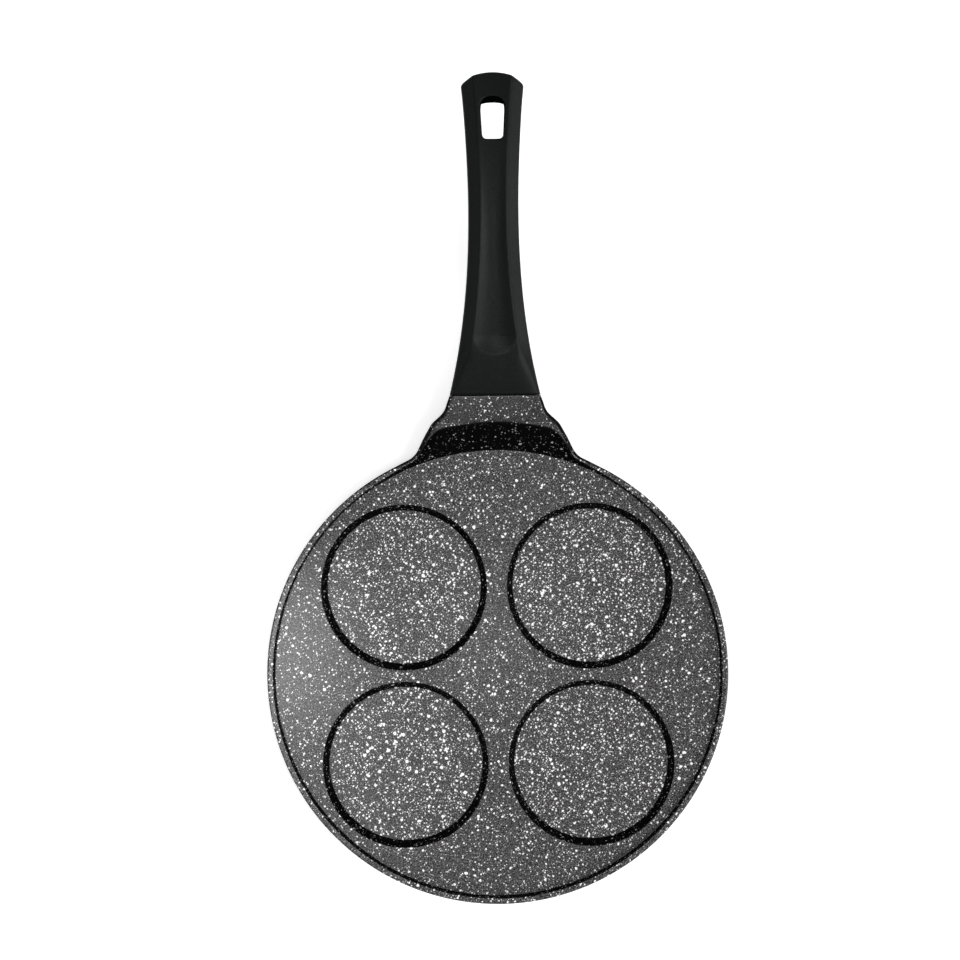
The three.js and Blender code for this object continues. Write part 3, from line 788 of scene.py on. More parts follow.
TANG_RISE = (handle_top(TANG_LENGTH) + handle_bottom(TANG_LENGTH)) / 2 - SEAM_MIDDLE
TANG_TILT = math.atan2(TANG_RISE, TANG_LENGTH)
SCREW_SEAT = -TANG_HEIGHT / 2 - FIT - SEAT_WALL
WASHER_TOP = SCREW_SEAT - STACK
SPRING_TOP = WASHER_TOP - WASHER_THICKNESS - STACK
HEAD_TOP = SPRING_TOP - SPRING_THICKNESS - STACK
HEAD_BOTTOM = HEAD_TOP - HEAD_HEIGHT
SLOT_FAR = HANDLE_LENGTH - SLOT_END_WALL
SLOT_NEAR = SLOT_FAR - SLOT_LENGTH
SLOT_MARGIN = 3.0
SLOT_COLUMNS = TOP_POINTS - 1
SLOT_COLLAR = np.array([0.4, 0.8])
ARCH_STEPS = 40
BORE_MARGIN = 8.5
BORE_COLUMNS = 7
BORE_ROUNDS = 10
ROUND_TURN = np.linspace(0, math.pi / 2, 6)
END_TURN = np.linspace(0, math.pi / 2, 9)[1:, None]
END_FACE_SHARES = np.array([0.92, 0.7, 0.4, 0])[:, None]
GROOVE_MARGIN = 4.0
GROOVE_RUN = 1.5
STATION_COUNTS = (20, 44, 60, 34, 10)
STATION_DIGITS = 6
STATION_SLACK = 0.01


def handle_stations():
    """Distances of the sections from the seam, in runs of even steps that are close together at the
    groove's start and the slot."""
    ends = (
        SEAM_LIP,
        GROOVE_START - GROOVE_MARGIN,
        GROOVE_START + GROOVE_RUN * GROOVE_ROUND,
        SLOT_NEAR - SLOT_MARGIN,
        SLOT_FAR + SLOT_MARGIN,
        HANDLE_LENGTH - END_ROUND,
    )
    runs = [np.linspace(*run) for run in zip(ends, ends[1:], STATION_COUNTS)]
    return np.unique(np.concatenate(runs).round(STATION_DIGITS))


def window_loop(first_row, last_row, half_columns):
    """Row and column steps once round a window of the grid, from its near left corner."""
    rows = np.arange(first_row, last_row + 1)
    columns = np.arange(-half_columns, half_columns + 1)
    near, far = np.full(len(columns), first_row), np.full(len(columns) - 1, last_row)
    right, left = np.full(len(rows) - 1, half_columns), np.full(len(rows) - 2, -half_columns)
    row = np.concatenate([near, rows[1:], far, rows[-2:0:-1]])
    column = np.concatenate([columns, right, columns[-2::-1], left])
    return row, column


def slot_radius(angles, arch_height, far):
    """Distance of the slot's outline from its middle at each angle: an arch at its far end, two rounded
    corners at its near one."""
    spring = far - arch_height
    near = -SLOT_LENGTH / 2
    turn = np.linspace(0, math.pi, ARCH_STEPS)
    arch = np.stack([SLOT_FAR_HALF * np.cos(turn), spring + arch_height * np.sin(turn)], axis=-1)
    foot = rounded_path([
        (-SLOT_FAR_HALF, spring, 0),
        (-SLOT_NEAR_HALF, near, SLOT_CORNER),
        (SLOT_NEAR_HALF, near, SLOT_CORNER),
        (SLOT_FAR_HALF, spring, 0),
    ], CORNER_STEPS)[1:-1]
    return radius_at(np.concatenate([arch, foot]), angles)


def slot_wall(upper, lower):
    """The slot's wall, from a window loop in the top to one in the belly: a collar, a rounded lip, the
    straight wall and the same again below, where the arch is flatter. Every row is the slot's outline,
    grown by what its lip needs."""
    middle = HANDLE_Y + SLOT_NEAR + SLOT_LENGTH / 2
    upper_angle = np.arctan2(upper[:, 1] - middle, upper[:, 0])
    lower_angle = np.arctan2(lower[:, 1] - middle, lower[:, 0])
    lower_angle = upper_angle + np.angle(np.exp(1j * (lower_angle - upper_angle)))
    upper_radius = slot_radius(upper_angle, SLOT_ARCH, SLOT_LENGTH / 2)
    lower_radius = slot_radius(lower_angle, SLOT_ARCH_BELOW, SLOT_LENGTH / 2 - SLOT_FAR_DRAFT)
    sides = (
        (upper, upper_angle, upper_radius, top_at, -1),
        (lower, lower_angle, lower_radius, belly_at, 1),
    )
    rows = []
    for loop, angle, radius, height, sign in sides:
        ray = np.stack([np.cos(angle), np.sin(angle)], axis=-1)
        radius = radius[:, None]
        outline = np.array([0, middle]) + ray * (radius + SLOT_LIP)
        collar = mixed(loop[:, :2], outline, SLOT_COLLAR[:, None, None])
        grown = SLOT_LIP * (1 - np.sin(ROUND_TURN))[:, None, None]
        lip = np.array([0, middle]) + ray * (radius + grown)
        sunk = np.concatenate([0 * SLOT_COLLAR, SLOT_LIP * (1 - np.cos(ROUND_TURN))])[:, None]
        plan = np.concatenate([collar, lip])
        z = height(plan[..., 0], plan[..., 1]) + sign * sunk
        part = np.concatenate([loop[None], np.concatenate([plan, z[..., None]], axis=-1)])
        rows.append(part if sign < 0 else part[::-1])
    return surface(np.concatenate(rows), closed=True)


def screw_bore(loop):
    """The bore for the screw's head, from a window loop in the belly: a collar, a rounded lip where the
    tilted cylinder meets the belly, its wall, the seat and a narrow blind bore."""
    cosine, sine = math.cos(TANG_TILT), math.sin(TANG_TILT)
    along = (loop[:, 1] - SEAM_Y) * cosine + (loop[:, 2] - SEAM_MIDDLE) * sine
    angle = np.arctan2(along - SCREW_DISTANCE, loop[:, 0])
    bore = WASHER_RADIUS + FIT
    grown = HEAD_BORE_LIP * np.concatenate([[HEAD_BORE_COLLAR], 1 - np.sin(ROUND_TURN)])
    radius = (bore + grown)[:, None]
    sunk = HEAD_BORE_LIP * np.concatenate([[0], 1 - np.cos(ROUND_TURN)])[:, None]
    x = radius * np.cos(angle)
    y = SCREW_DISTANCE + radius * np.sin(angle)
    z = np.full_like(x, HEAD_BOTTOM)
    for _ in range(BORE_ROUNDS):
        placed = in_fastening(np.stack([x, y, z], axis=-1))
        z = z + (belly_at(placed[..., 0], placed[..., 1]) + sunk - placed[..., 2]) * cosine
    lip = np.stack([x, y, z], axis=-1)
    blind = SCREW_SEAT + SEAT_WALL - STACK
    inner = np.array([(bore, SCREW_SEAT), (SCREW_BORE, SCREW_SEAT), (SCREW_BORE, blind), (0, blind)])
    inner_x = inner[:, :1] * np.cos(angle)
    inner_y = SCREW_DISTANCE + inner[:, :1] * np.sin(angle)
    inside = np.stack([inner_x, inner_y, np.tile(inner[:, 1:], (1, len(angle)))], axis=-1)
    rows = np.concatenate([loop[None], in_fastening(np.concatenate([lip, inside]))])
    return surface(rows, closed=True)


def seam_rows():
    """The handle's start: the closed bottom of its socket, the socket's wall, its mouth in the seam's face
    and the quarter round at that face's edge."""
    first_x, first_z = handle_sections(np.array([0.0]))
    turn = ROUND_TURN[:-1, None]
    lip_x, lip_z = drawn_in(first_x, first_z, SEAM_LIP * (1 - np.sin(turn)))
    lip_y = np.broadcast_to(HANDLE_Y + SEAM_LIP * (1 - np.cos(turn)), lip_x.shape)
    socket_x, socket_z = tang_outline(FIT, np.arctan2(lip_z[0] - SEAM_MIDDLE, lip_x[0]))
    mouth = (SEAM_GAP + socket_z * math.sin(TANG_TILT)) / math.cos(TANG_TILT)
    depth = np.full_like(mouth, TANG_LENGTH + FIT)
    middle = np.zeros_like(mouth)
    socket = np.stack([
        np.stack([middle, depth, middle], axis=-1),
        np.stack([socket_x, depth, socket_z], axis=-1),
        np.stack([socket_x, mouth, socket_z], axis=-1),
    ])
    return np.concatenate([in_fastening(socket), np.stack([lip_x, lip_y, lip_z], axis=-1)])


def end_rows(x, z):
    """The handle's end from its last section: a quarter round, then the bent face drawn in to its middle."""
    end = HANDLE_Y + HANDLE_LENGTH
    round_x, round_z = drawn_in(x, z, END_ROUND * (1 - np.cos(END_TURN)))
    round_y = end - END_ROUND * (1 - np.sin(END_TURN)) - arc_sag(round_x)
    face_x = round_x[-1:] * END_FACE_SHARES
    face_z = mixed((END_TOP + END_BOTTOM) / 2, round_z[-1:], END_FACE_SHARES)
    face = np.stack([face_x, end - arc_sag(face_x), face_z], axis=-1)
    return np.concatenate([np.stack([round_x, round_y, round_z], axis=-1), face])


def handle_surfaces():
    """The handle's skin as one grid from the bottom of its socket, over the seam's face and lip, along
    its sections and round its end, with windows for the slot and the screw, and the walls that fill them."""
    distance = handle_stations()
    x, z = handle_sections(distance)
    y = HANDLE_Y + distance[:, None] - end_bend(distance)[:, None] * arc_sag(x)
    start = seam_rows()
    grid = np.concatenate([start, np.stack([x, y, z], axis=-1), end_rows(x[-1:], z[-1:])])
    keep = np.ones((len(grid) - 1, grid.shape[1]), bool)
    bottom = grid.shape[1] // 2
    slot_ends = np.array([SLOT_NEAR - SLOT_MARGIN, SLOT_FAR + SLOT_MARGIN]) - STATION_SLACK
    slot_rows = len(start) + np.searchsorted(distance, slot_ends)
    row, column = window_loop(*slot_rows, SLOT_COLUMNS)
    upper, lower = grid[row, column], grid[row, bottom - column]
    keep[slice(*slot_rows), :SLOT_COLUMNS] = False
    keep[slice(*slot_rows), -SLOT_COLUMNS:] = False
    keep[slice(*slot_rows), bottom - SLOT_COLUMNS:bottom + SLOT_COLUMNS] = False
    axis = float(in_fastening(np.array([0, SCREW_DISTANCE, HEAD_BOTTOM]))[1]) - HANDLE_Y
    bore_rows = len(start) + np.searchsorted(distance, [axis - BORE_MARGIN, axis + BORE_MARGIN])
    row, column = window_loop(*bore_rows, BORE_COLUMNS)
    below = grid[row, bottom - column]
    keep[slice(*bore_rows), bottom - BORE_COLUMNS:bottom + BORE_COLUMNS] = False
    return [surface(grid, closed=True, keep=keep), slot_wall(upper, lower), screw_bore(below)]


# Screw, washers and plate

SCREW_COLUMNS = 72
THREAD_ROWS = 110
HEAD_SHARES = np.linspace(0, 1, 26)


def screw_surface():
    """The screw, turned about its axis: a rounded head with a cross recess pressed in as a depth over
    the plan, then a shank whose radius is a triangle wave of height and turn, which is its thread."""
    angle = np.linspace(0, 2 * math.pi, SCREW_COLUMNS, endpoint=False)
    edge = HEAD_RADIUS - HEAD_ROUND
    r = HEAD_SHARES[:, None] * edge
    x, y = r * np.cos(angle), r * np.sin(angle)
    arms = [
        np.maximum(np.abs(along) - RECESS_HALF_LENGTH, np.abs(across) - RECESS_HALF_WIDTH)
        for along, across in ((x, y), (y, x))
    ]
    sunk = RECESS_DEPTH * smoothstep(-np.minimum(*arms), 0, RECESS_SLOPE)
    head = np.stack([x, y, HEAD_BOTTOM + sunk], axis=-1)
    turn = ROUND_TURN[1:, None]
    around = np.ones((1, SCREW_COLUMNS))
    rim_r = (edge + HEAD_ROUND * np.sin(turn)) * around
    rim_z = (HEAD_BOTTOM + HEAD_ROUND * (1 - np.cos(turn))) * around
    tip = TANG_HEIGHT / 2 - TIP_MARGIN
    z = np.linspace(HEAD_TOP, tip - TIP_CHAMFER, THREAD_ROWS)[:, None] * around
    wave = np.abs(2 * np.mod(z / THREAD_PITCH - angle / (2 * math.pi), 1) - 1)
    deep = THREAD_DEPTH * smoothstep(z, HEAD_TOP, HEAD_TOP + THREAD_PITCH)
    shank = SCREW_RADIUS - deep * wave
    tip_radius = SCREW_RADIUS - TIP_CHAMFER
    r = np.concatenate([rim_r, HEAD_RADIUS * around, shank, tip_radius * around, 0 * around])
    z = np.concatenate([rim_z, HEAD_TOP * around, z, tip * around, tip * around])
    rest = np.stack([r * np.cos(angle), r * np.sin(angle), z], axis=-1)
    points = np.concatenate([head, rest]) + (0, SCREW_DISTANCE, 0)
    return surface(in_fastening(points), closed=True)


WASHER_COLUMNS = 64


def washer_section(inner, outer, top, thickness):
    """A washer's section as a closed run of (radius, height) points with chamfered edges."""
    bottom = top - thickness
    return np.array([
        (inner, bottom + WASHER_ROUND), (inner + WASHER_ROUND, bottom),
        (outer - WASHER_ROUND, bottom), (outer, bottom + WASHER_ROUND),
        (outer, top - WASHER_ROUND), (outer - WASHER_ROUND, top),
        (inner + WASHER_ROUND, top), (inner, top - WASHER_ROUND),
        (inner, bottom + WASHER_ROUND),
    ])


def flat_washer_surface():
    """The flat washer: its section turned right round the screw's axis."""
    section = washer_section(SCREW_BORE, WASHER_RADIUS, WASHER_TOP, WASHER_THICKNESS)
    ring = turned_grid(section, WASHER_COLUMNS)
    return surface(in_fastening(ring + (0, SCREW_DISTANCE, 0)), closed=True)


def spring_washer_surface():
    """The split washer: its section turned from one side of the slit to the other and closed at both
    ends."""
    section = washer_section(SCREW_BORE, SCREW_BORE + SPRING_WIDTH, SPRING_TOP, SPRING_THICKNESS)
    angle = np.linspace(SPRING_SLIT / 2, 2 * math.pi - SPRING_SLIT / 2, WASHER_COLUMNS)[:, None]
    radius, height = section.T
    ring = np.stack([radius * np.cos(angle), radius * np.sin(angle), height + 0 * angle], axis=-1)
    caps = [np.broadcast_to(end.mean(axis=0), end.shape)[None] for end in (ring[0, :-1], ring[-1, :-1])]
    caps = [np.concatenate([cap, cap[:, :1]], axis=1) for cap in caps]
    points = np.concatenate([caps[0], ring, caps[1]]) + (0, SCREW_DISTANCE, 0)
    return surface(in_fastening(points))


ARC_STEP = math.radians(2.5)
CELL_SIDE_STEPS = 8


def plate_cell(ring, index):
    """One hole of the plate and the patch round it, as rings from the hole's edge on the upper face,
    down its wall and out over the lower face; the patch ends at the cell's border of two arcs and two
    rays, so that neighbouring cells meet."""
    count = HOLES_PER_RING * ring
    middle = 2 * math.pi * index / count
    reach = math.pi / count
    steps = round(2 * reach / ARC_STEP)
    sweep = np.linspace(-reach, reach, steps + 1)
    inner, outer = (ring - 0.5) * HOLE_RING_STEP, (ring + 0.5) * HOLE_RING_STEP
    across = np.linspace(inner, outer, CELL_SIDE_STEPS + 1)
    along = np.full(CELL_SIDE_STEPS, reach)
    radius = np.concatenate([np.full(steps, outer), across[:0:-1], np.full(steps, inner), across[:-1]])
    angle = np.concatenate([sweep[:-1], along, sweep[:0:-1], -along])
    border = np.stack([radius * np.cos(angle + middle), radius * np.sin(angle + middle)], axis=-1)
    centre = ring * HOLE_RING_STEP * np.array([math.cos(middle), math.sin(middle)])
    ray = border - centre
    ray /= np.linalg.norm(ray, axis=1, keepdims=True)
    edge = centre + ray * HOLE_RADIUS
    wide = centre + ray * (HOLE_RADIUS + PLATE_EDGE)
    plan = np.stack([border, wide, edge, edge, wide, border])
    upper = PLATE_THICKNESS
    levels = np.array([upper, upper, upper - PLATE_EDGE, PLATE_EDGE, 0, 0])
    height = np.tile(levels[:, None, None], (1, len(border), 1))
    return surface(np.concatenate([plan, height], axis=-1), closed=True)


def plate_surfaces():
    """The induction plate: a plain middle, a cell round each hole and a plain edge."""
    steps = round(2 * math.pi / ARC_STEP)
    start = HOLE_RING_STEP / 2
    end = (HOLE_RINGS + 0.5) * HOLE_RING_STEP
    middle = [turned_grid([(0, z), (start, z)], steps) for z in (0, PLATE_THICKNESS)]
    edge = turned_grid([
        (end, PLATE_THICKNESS),
        (PLATE_RADIUS - PLATE_EDGE, PLATE_THICKNESS),
        (PLATE_RADIUS, PLATE_THICKNESS - PLATE_EDGE),
        (PLATE_RADIUS, PLATE_EDGE),
        (PLATE_RADIUS - PLATE_EDGE, 0),
        (end, 0),
    ], steps)
    rings = range(1, HOLE_RINGS + 1)
    cells = [plate_cell(ring, i) for ring in rings for i in range(HOLES_PER_RING * ring)]
    return [surface(grid, closed=True) for grid in (*middle, edge)] + cells


# Finishes


def finish(name, **fixed):
    """A new material with its Principled shader, whose named sockets get fixed values."""
    material = bpy.data.materials.new(name)
    material.use_nodes = True
    shader = material.node_tree.nodes["Principled BSDF"]
    for socket, value in fixed.items():
        shader.inputs[socket.replace("_", " ")].default_value = value
    return material, material.node_tree, shader


def added(tree, kind, inputs=None, **settings):
    """A node of that kind; inputs maps a socket's name or number to a value or to another node's output."""
    made = tree.nodes.new(kind)
    for name, value in settings.items():
        setattr(made, name, value)
    for socket, value in (inputs or {}).items():
        if isinstance(value, bpy.types.NodeSocket):
            tree.links.new(value, made.inputs[socket])
        else:
            made.inputs[socket].default_value = value
    return made


def vector_math(tree, operation, inputs):
    """The vector put out by a Vector Math node with these inputs."""
    return added(tree, "ShaderNodeVectorMath", inputs, operation=operation).outputs[0]


def math_node(tree, operation, *values):
    """The output of a Math node with these values or outputs."""
    return added(tree, "ShaderNodeMath", dict(enumerate(values)), operation=operation).outputs[0]


def colour_mix(tree, share, first, second):
    """The output of a colour mix, a share of the way from first to second."""
    inputs = {"Factor": share, 6: first, 7: second}
    return added(tree, "ShaderNodeMix", inputs, data_type="RGBA").outputs[2]


def ranged(tree, value, low, high, new_low=0.0, new_high=1.0):
    """The output of a Map Range node, held within its new range."""
    inputs = {"Value": value, 1: low, 2: high, 3: new_low, 4: new_high}
    return added(tree, "ShaderNodeMapRange", inputs).outputs[0]


def grey(value):
    """A neutral colour."""
    return (value, value, value, 1)


def new_group(name, inputs, outputs):
    """An empty shader node group with named sockets, and its input and output nodes."""
    tree = bpy.data.node_groups.new(name, "ShaderNodeTree")
    for socket, kind, default in inputs:
        made = tree.interface.new_socket(socket, in_out="INPUT", socket_type=kind)
        if default is not None:
            made.default_value = default
    for socket, kind in outputs:
        tree.interface.new_socket(socket, in_out="OUTPUT", socket_type=kind)
    return tree, tree.nodes.new("NodeGroupInput"), tree.nodes.new("NodeGroupOutput")


SPECK_TURN = (0.62, 0.41, 0.93)
SPECK_ROUGH_SCALE = 900.0
SPECK_ROUGH_DETAIL = 2.0
SPECK_ROUGH_REACH = 0.0011
SPECK_LEAST = 0.45
SPECK_EDGE = (-0.02, 0.06)
GRAIN_DETAILS = (2.0, 3.0)
GRAIN_ROUGHNESS = 0.6
FLOAT = "NodeSocketFloat"
VECTOR = "NodeSocketVector"


def speckle_group():
    """Flung specks of one size: in a share of the cells of a 3-D Voronoi pattern, a blot round the cell's
    point whose radius is random, with its outline roughened by noise."""
    tree, given, result = new_group(
        "speckle",
        [("Vector", VECTOR, None), ("Cells per metre", FLOAT, 400.0),
         ("Share", FLOAT, 0.3), ("Radius", FLOAT, 0.4)],
        [("Mask", FLOAT)],
    )
    turned = added(tree, "ShaderNodeVectorRotate", {"Vector": given.outputs[0], "Rotation": SPECK_TURN},
                   rotation_type="EULER_XYZ").outputs[0]
    rough = added(tree, "ShaderNodeTexNoise",
                  {"Vector": turned, "Scale": SPECK_ROUGH_SCALE, "Detail": SPECK_ROUGH_DETAIL})
    push = vector_math(tree, "SUBTRACT", {0: rough.outputs["Color"], 1: (0.5, 0.5, 0.5)})
    push = vector_math(tree, "SCALE", {0: push, "Scale": SPECK_ROUGH_REACH})
    place = vector_math(tree, "ADD", {0: turned, 1: push})
    cells = added(tree, "ShaderNodeTexVoronoi", {"Vector": place, "Scale": given.outputs[1]})
    chance = added(tree, "ShaderNodeSeparateColor", {0: cells.outputs["Color"]})
    size = ranged(tree, chance.outputs[1], 0, 1, SPECK_LEAST, 1.0)
    radius = math_node(tree, "MULTIPLY", given.outputs[3], size)
    depth = math_node(tree, "SUBTRACT", radius, cells.outputs["Distance"])
    blot = ranged(tree, depth, *SPECK_EDGE)
    chosen = math_node(tree, "LESS_THAN", chance.outputs[0], given.outputs[2])
    tree.links.new(math_node(tree, "MULTIPLY", blot, chosen), result.inputs[0])
    return tree


def grain_group():
    """Fine grain of a sprayed or moulded skin: noise at two scales, as a value round 0.5."""
    tree, given, result = new_group(
        "grain",
        [("Vector", VECTOR, None), ("Fine scale", FLOAT, 1500.0), ("Coarse scale", FLOAT, 60.0)],
        [("Fine", FLOAT), ("Coarse", FLOAT)],
    )
    for i, detail in enumerate(GRAIN_DETAILS):
        inputs = {"Vector": given.outputs[0], "Scale": given.outputs[i + 1], "Detail": detail,
                  "Roughness": GRAIN_ROUGHNESS}
        noise = added(tree, "ShaderNodeTexNoise", inputs)
        tree.links.new(noise.outputs[0], result.inputs[i])
    return tree


SPECKLE = speckle_group()
GRAIN = grain_group()


def placed_group(tree, group, inputs):
    """A node group set in a tree, with its inputs given by name."""
    return added(tree, "ShaderNodeGroup", inputs, node_tree=group)


def object_place(tree):
    """The place on the piece, in its object's coordinates."""
    return added(tree, "ShaderNodeTexCoord").outputs["Object"]


def grained(tree, place, fine_scale, coarse_scale):
    """The fine and the coarse output of the grain at a place."""
    inputs = {"Vector": place, "Fine scale": fine_scale, "Coarse scale": coarse_scale}
    made = placed_group(tree, GRAIN, inputs)
    return made.outputs["Fine"], made.outputs["Coarse"]


def bumped(tree, shader, height, strength, distance):
    """A bump of that height on the shader's normal."""
    bump = added(tree, "ShaderNodeBump", {"Height": height, "Strength": strength, "Distance": distance})
    tree.links.new(bump.outputs[0], shader.inputs["Normal"])


GRAIN_RANGE = (0.3, 0.7)

# The coating's black: the dark end of its mottle, and the painted shade on steep walls.
COATING_BLACK_AND_PAINTED_SHADE = 0.0015
COATING_GREY = (0.140, 0.135, 0.1375, 1.0)
COATING_ROUGHNESS = 0.45
COATING_SCALES = (1350.0, 45.0)
COATING_GRAIN = (0.39, 0.67)
COATING_BUMP = (0.5, 0.00012)
GLOSS_ROUGHNESS = 0.2
LEVEL_COAT = 0.5
STEEP_COAT = 0.1
SPECK_WHITE = 0.95
SPECK_RAISE = 0.6
# How white the specks stay under the painted shade on steep walls.
STEEP_SPECK_PAINTED_SHADE = 0.32
STEEP_SHARE = 0.6
LAND_SPRAY = 0.38
THIN_TONE = 0.55
SPECK_SIZES = (
    # cells per metre, share where the spray is thin, share where it is thick, radius in cells, whiteness
    (330.0, 0.0, 0.22, 0.36, 1.0),
    (520.0, 0.08, 0.48, 0.38, 1.0),
    (820.0, 0.18, 0.46, 0.40, 0.9),
    (1300.0, 0.18, 0.40, 0.42, 0.45),
)


def coating_finish():
    """Dark speckled non-stick coating: a near-black ground mottled with grey, four sizes of pale specks
    that are thick in the wells, thin on the neck and thinner still on steep walls, and a fine bump. Where
    the mask of painted shade is low, on steep walls and a little on the neck, the ground is painted black
    and the specks dimmed: painted shade. The coat's weight falls there too."""
    material, tree, shader = finish("speckled_coating", Specular_IOR_Level=0.0,
                                    Roughness=COATING_ROUGHNESS, Coat_Roughness=GLOSS_ROUGHNESS)
    place = object_place(tree)
    spray = added(tree, "ShaderNodeAttribute", attribute_name="spray").outputs["Fac"]
    flat_unshaded = added(tree, "ShaderNodeAttribute", attribute_name="flat_unshaded").outputs["Fac"]
    fine, _ = grained(tree, place, *COATING_SCALES)
    # The ground's tone, brought down to black by the mask of painted shade on steep walls and the neck.
    depth = math_node(tree, "MULTIPLY", flat_unshaded, ranged(tree, spray, 0, LAND_SPRAY, THIN_TONE, 1.0))
    tone = math_node(tree, "MULTIPLY", ranged(tree, fine, *COATING_GRAIN), depth)
    colour = colour_mix(tree, tone, grey(COATING_BLACK_AND_PAINTED_SHADE), COATING_GREY)
    cover = None
    for cells, thin, thick, radius, white in SPECK_SIZES:
        here = math_node(tree, "MULTIPLY", ranged(tree, spray, 0, 1, thin, thick),
                         ranged(tree, flat_unshaded, 0, 1, STEEP_SHARE, 1.0))
        inputs = {"Vector": place, "Cells per metre": cells, "Share": here, "Radius": radius}
        mask = math_node(tree, "MULTIPLY", placed_group(tree, SPECKLE, inputs).outputs["Mask"], white)
        cover = mask if cover is None else math_node(tree, "MAXIMUM", cover, mask)
    # Painted shade: the specks are dimmed where the mask is low.
    cover = math_node(tree, "MULTIPLY", cover, ranged(tree, flat_unshaded, 0, 1, STEEP_SPECK_PAINTED_SHADE, 1.0))
    tree.links.new(colour_mix(tree, cover, colour, grey(SPECK_WHITE)), shader.inputs["Base Color"])
    tree.links.new(ranged(tree, flat_unshaded, 0, 1, STEEP_COAT, LEVEL_COAT), shader.inputs["Coat Weight"])
    raised = math_node(tree, "MULTIPLY", cover, SPECK_RAISE)
    bumped(tree, shader, math_node(tree, "ADD", fine, raised), *COATING_BUMP)
    return material


PLASTIC_BLACK = (0.0001, 0.0002, 0.0002, 1.0)
PLASTIC_GREY = (0.0024, 0.0040, 0.0042, 1.0)
PLASTIC_GLOSS = 0.115
PLASTIC_SCALES = (1200.0, 30.0)
PLASTIC_ROUGHNESS = (0.32, 0.38)
PLASTIC_BUMP = (0.5, 0.00016)


def handle_finish(name, gloss):
    """Matt moulded plastic: near black, with a fine even grain in its bump and a little in its gloss."""
    material, tree, shader = finish(name, Specular_IOR_Level=gloss)
    fine, coarse = grained(tree, object_place(tree), *PLASTIC_SCALES)
    tone = ranged(tree, fine, *GRAIN_RANGE)
    tree.links.new(colour_mix(tree, tone, PLASTIC_BLACK, PLASTIC_GREY), shader.inputs["Base Color"])
    tree.links.new(ranged(tree, coarse, *GRAIN_RANGE, *PLASTIC_ROUGHNESS), shader.inputs["Roughness"])
    bumped(tree, shader, fine, *PLASTIC_BUMP)
    return material


STEEL_TONE = (0.56, 0.56, 0.55, 1)
STEEL_RINGS = 900.0
ALUMINIUM_TONE = (0.68, 0.68, 0.69, 1)
ALUMINIUM_RINGS = 700.0
RING_DETAIL = 3.0
RING_ROUGHNESS = 0.7
RING_SHARE = 0.7
DRIFT_SHARE = 0.3
RING_RANGE = (0.35, 0.65)
RING_DARK = 0.82
TURNED_SCALES = (900.0, 25.0)
TURNED_ROUGHNESS = (0.24, 0.4)
TURNED_BUMP = (0.2, 0.00005)


def turned_finish(name, colour, rings_per_metre):
    """Metal faced on a lathe: fine rings round the axis in its gloss and bump, with a little colour
    drift."""
    material, tree, shader = finish(name, Metallic=1.0)
    place = object_place(tree)
    parts = added(tree, "ShaderNodeSeparateXYZ", {0: place})
    flat = added(tree, "ShaderNodeCombineXYZ", {0: parts.outputs[0], 1: parts.outputs[1]})
    radius = added(tree, "ShaderNodeVectorMath", {0: flat.outputs[0]}, operation="LENGTH").outputs["Value"]
    inputs = {"W": radius, "Scale": rings_per_metre, "Detail": RING_DETAIL, "Roughness": RING_ROUGHNESS}
    rings = added(tree, "ShaderNodeTexNoise", inputs, noise_dimensions="1D").outputs[0]
    _, coarse = grained(tree, place, *TURNED_SCALES)
    tone = math_node(tree, "ADD", math_node(tree, "MULTIPLY", rings, RING_SHARE),
                     math_node(tree, "MULTIPLY", coarse, DRIFT_SHARE))
    dark = tuple(RING_DARK * value for value in colour[:3]) + (1,)
    tint = colour_mix(tree, ranged(tree, tone, *RING_RANGE), dark, colour)
    tree.links.new(tint, shader.inputs["Base Color"])
    tree.links.new(ranged(tree, tone, *GRAIN_RANGE, *TURNED_ROUGHNESS), shader.inputs["Roughness"])
    bumped(tree, shader, rings, *TURNED_BUMP)
    return material


PLATED_DARK = (0.52, 0.53, 0.54, 1)
PLATED_PALE = (0.66, 0.66, 0.65, 1)
PLATED_SCALES = (2600.0, 350.0)
PLATED_ROUGHNESS = (0.25, 0.4)


def plated_finish():
    """Zinc-plated steel: bright grey with a faint cloudiness in colour and gloss."""
    material, tree, shader = finish("zinc_plated_steel", Metallic=1.0)
    fine, coarse = grained(tree, object_place(tree), *PLATED_SCALES)
    cloud = ranged(tree, coarse, *GRAIN_RANGE)
    tree.links.new(colour_mix(tree, cloud, PLATED_DARK, PLATED_PALE), shader.inputs["Base Color"])
    tree.links.new(ranged(tree, fine, *GRAIN_RANGE, *PLATED_ROUGHNESS), shader.inputs["Roughness"])
    return material


# Marks that the finishes read from the meshes

# How much painted shade the neck's top gets: its ground and specks are made darker there.
NECK_PAINTED_SHADE = 0.22
SPRAY_FADE = 1.0
# Heights of the normal between which the painted shade on steep walls fades out, inside the rim and on its
# outer edge.
WALL_PAINTED_SHADE_FULL = 0.9
WALL_PAINTED_SHADE_GONE = 0.985
EDGE_PAINTED_SHADE_FULL = 0.3
EDGE_PAINTED_SHADE_GONE = 0.8
EDGE_BLEND = 12.0


def face_places(mesh):
    """The middles of the mesh's faces in millimetres, as an array [count, 3]."""
    centres = np.empty(3 * len(mesh.polygons), np.float32)
    mesh.polygons.foreach_get("center", centres)
    return centres.reshape(-1, 3) / MM


def marked(mesh, name, values):
    """A value at each of the mesh's vertices, kept under that name."""
    attribute = mesh.attributes.new(name, "FLOAT", "POINT")
    attribute.data.foreach_set("value", values.astype(np.float32))


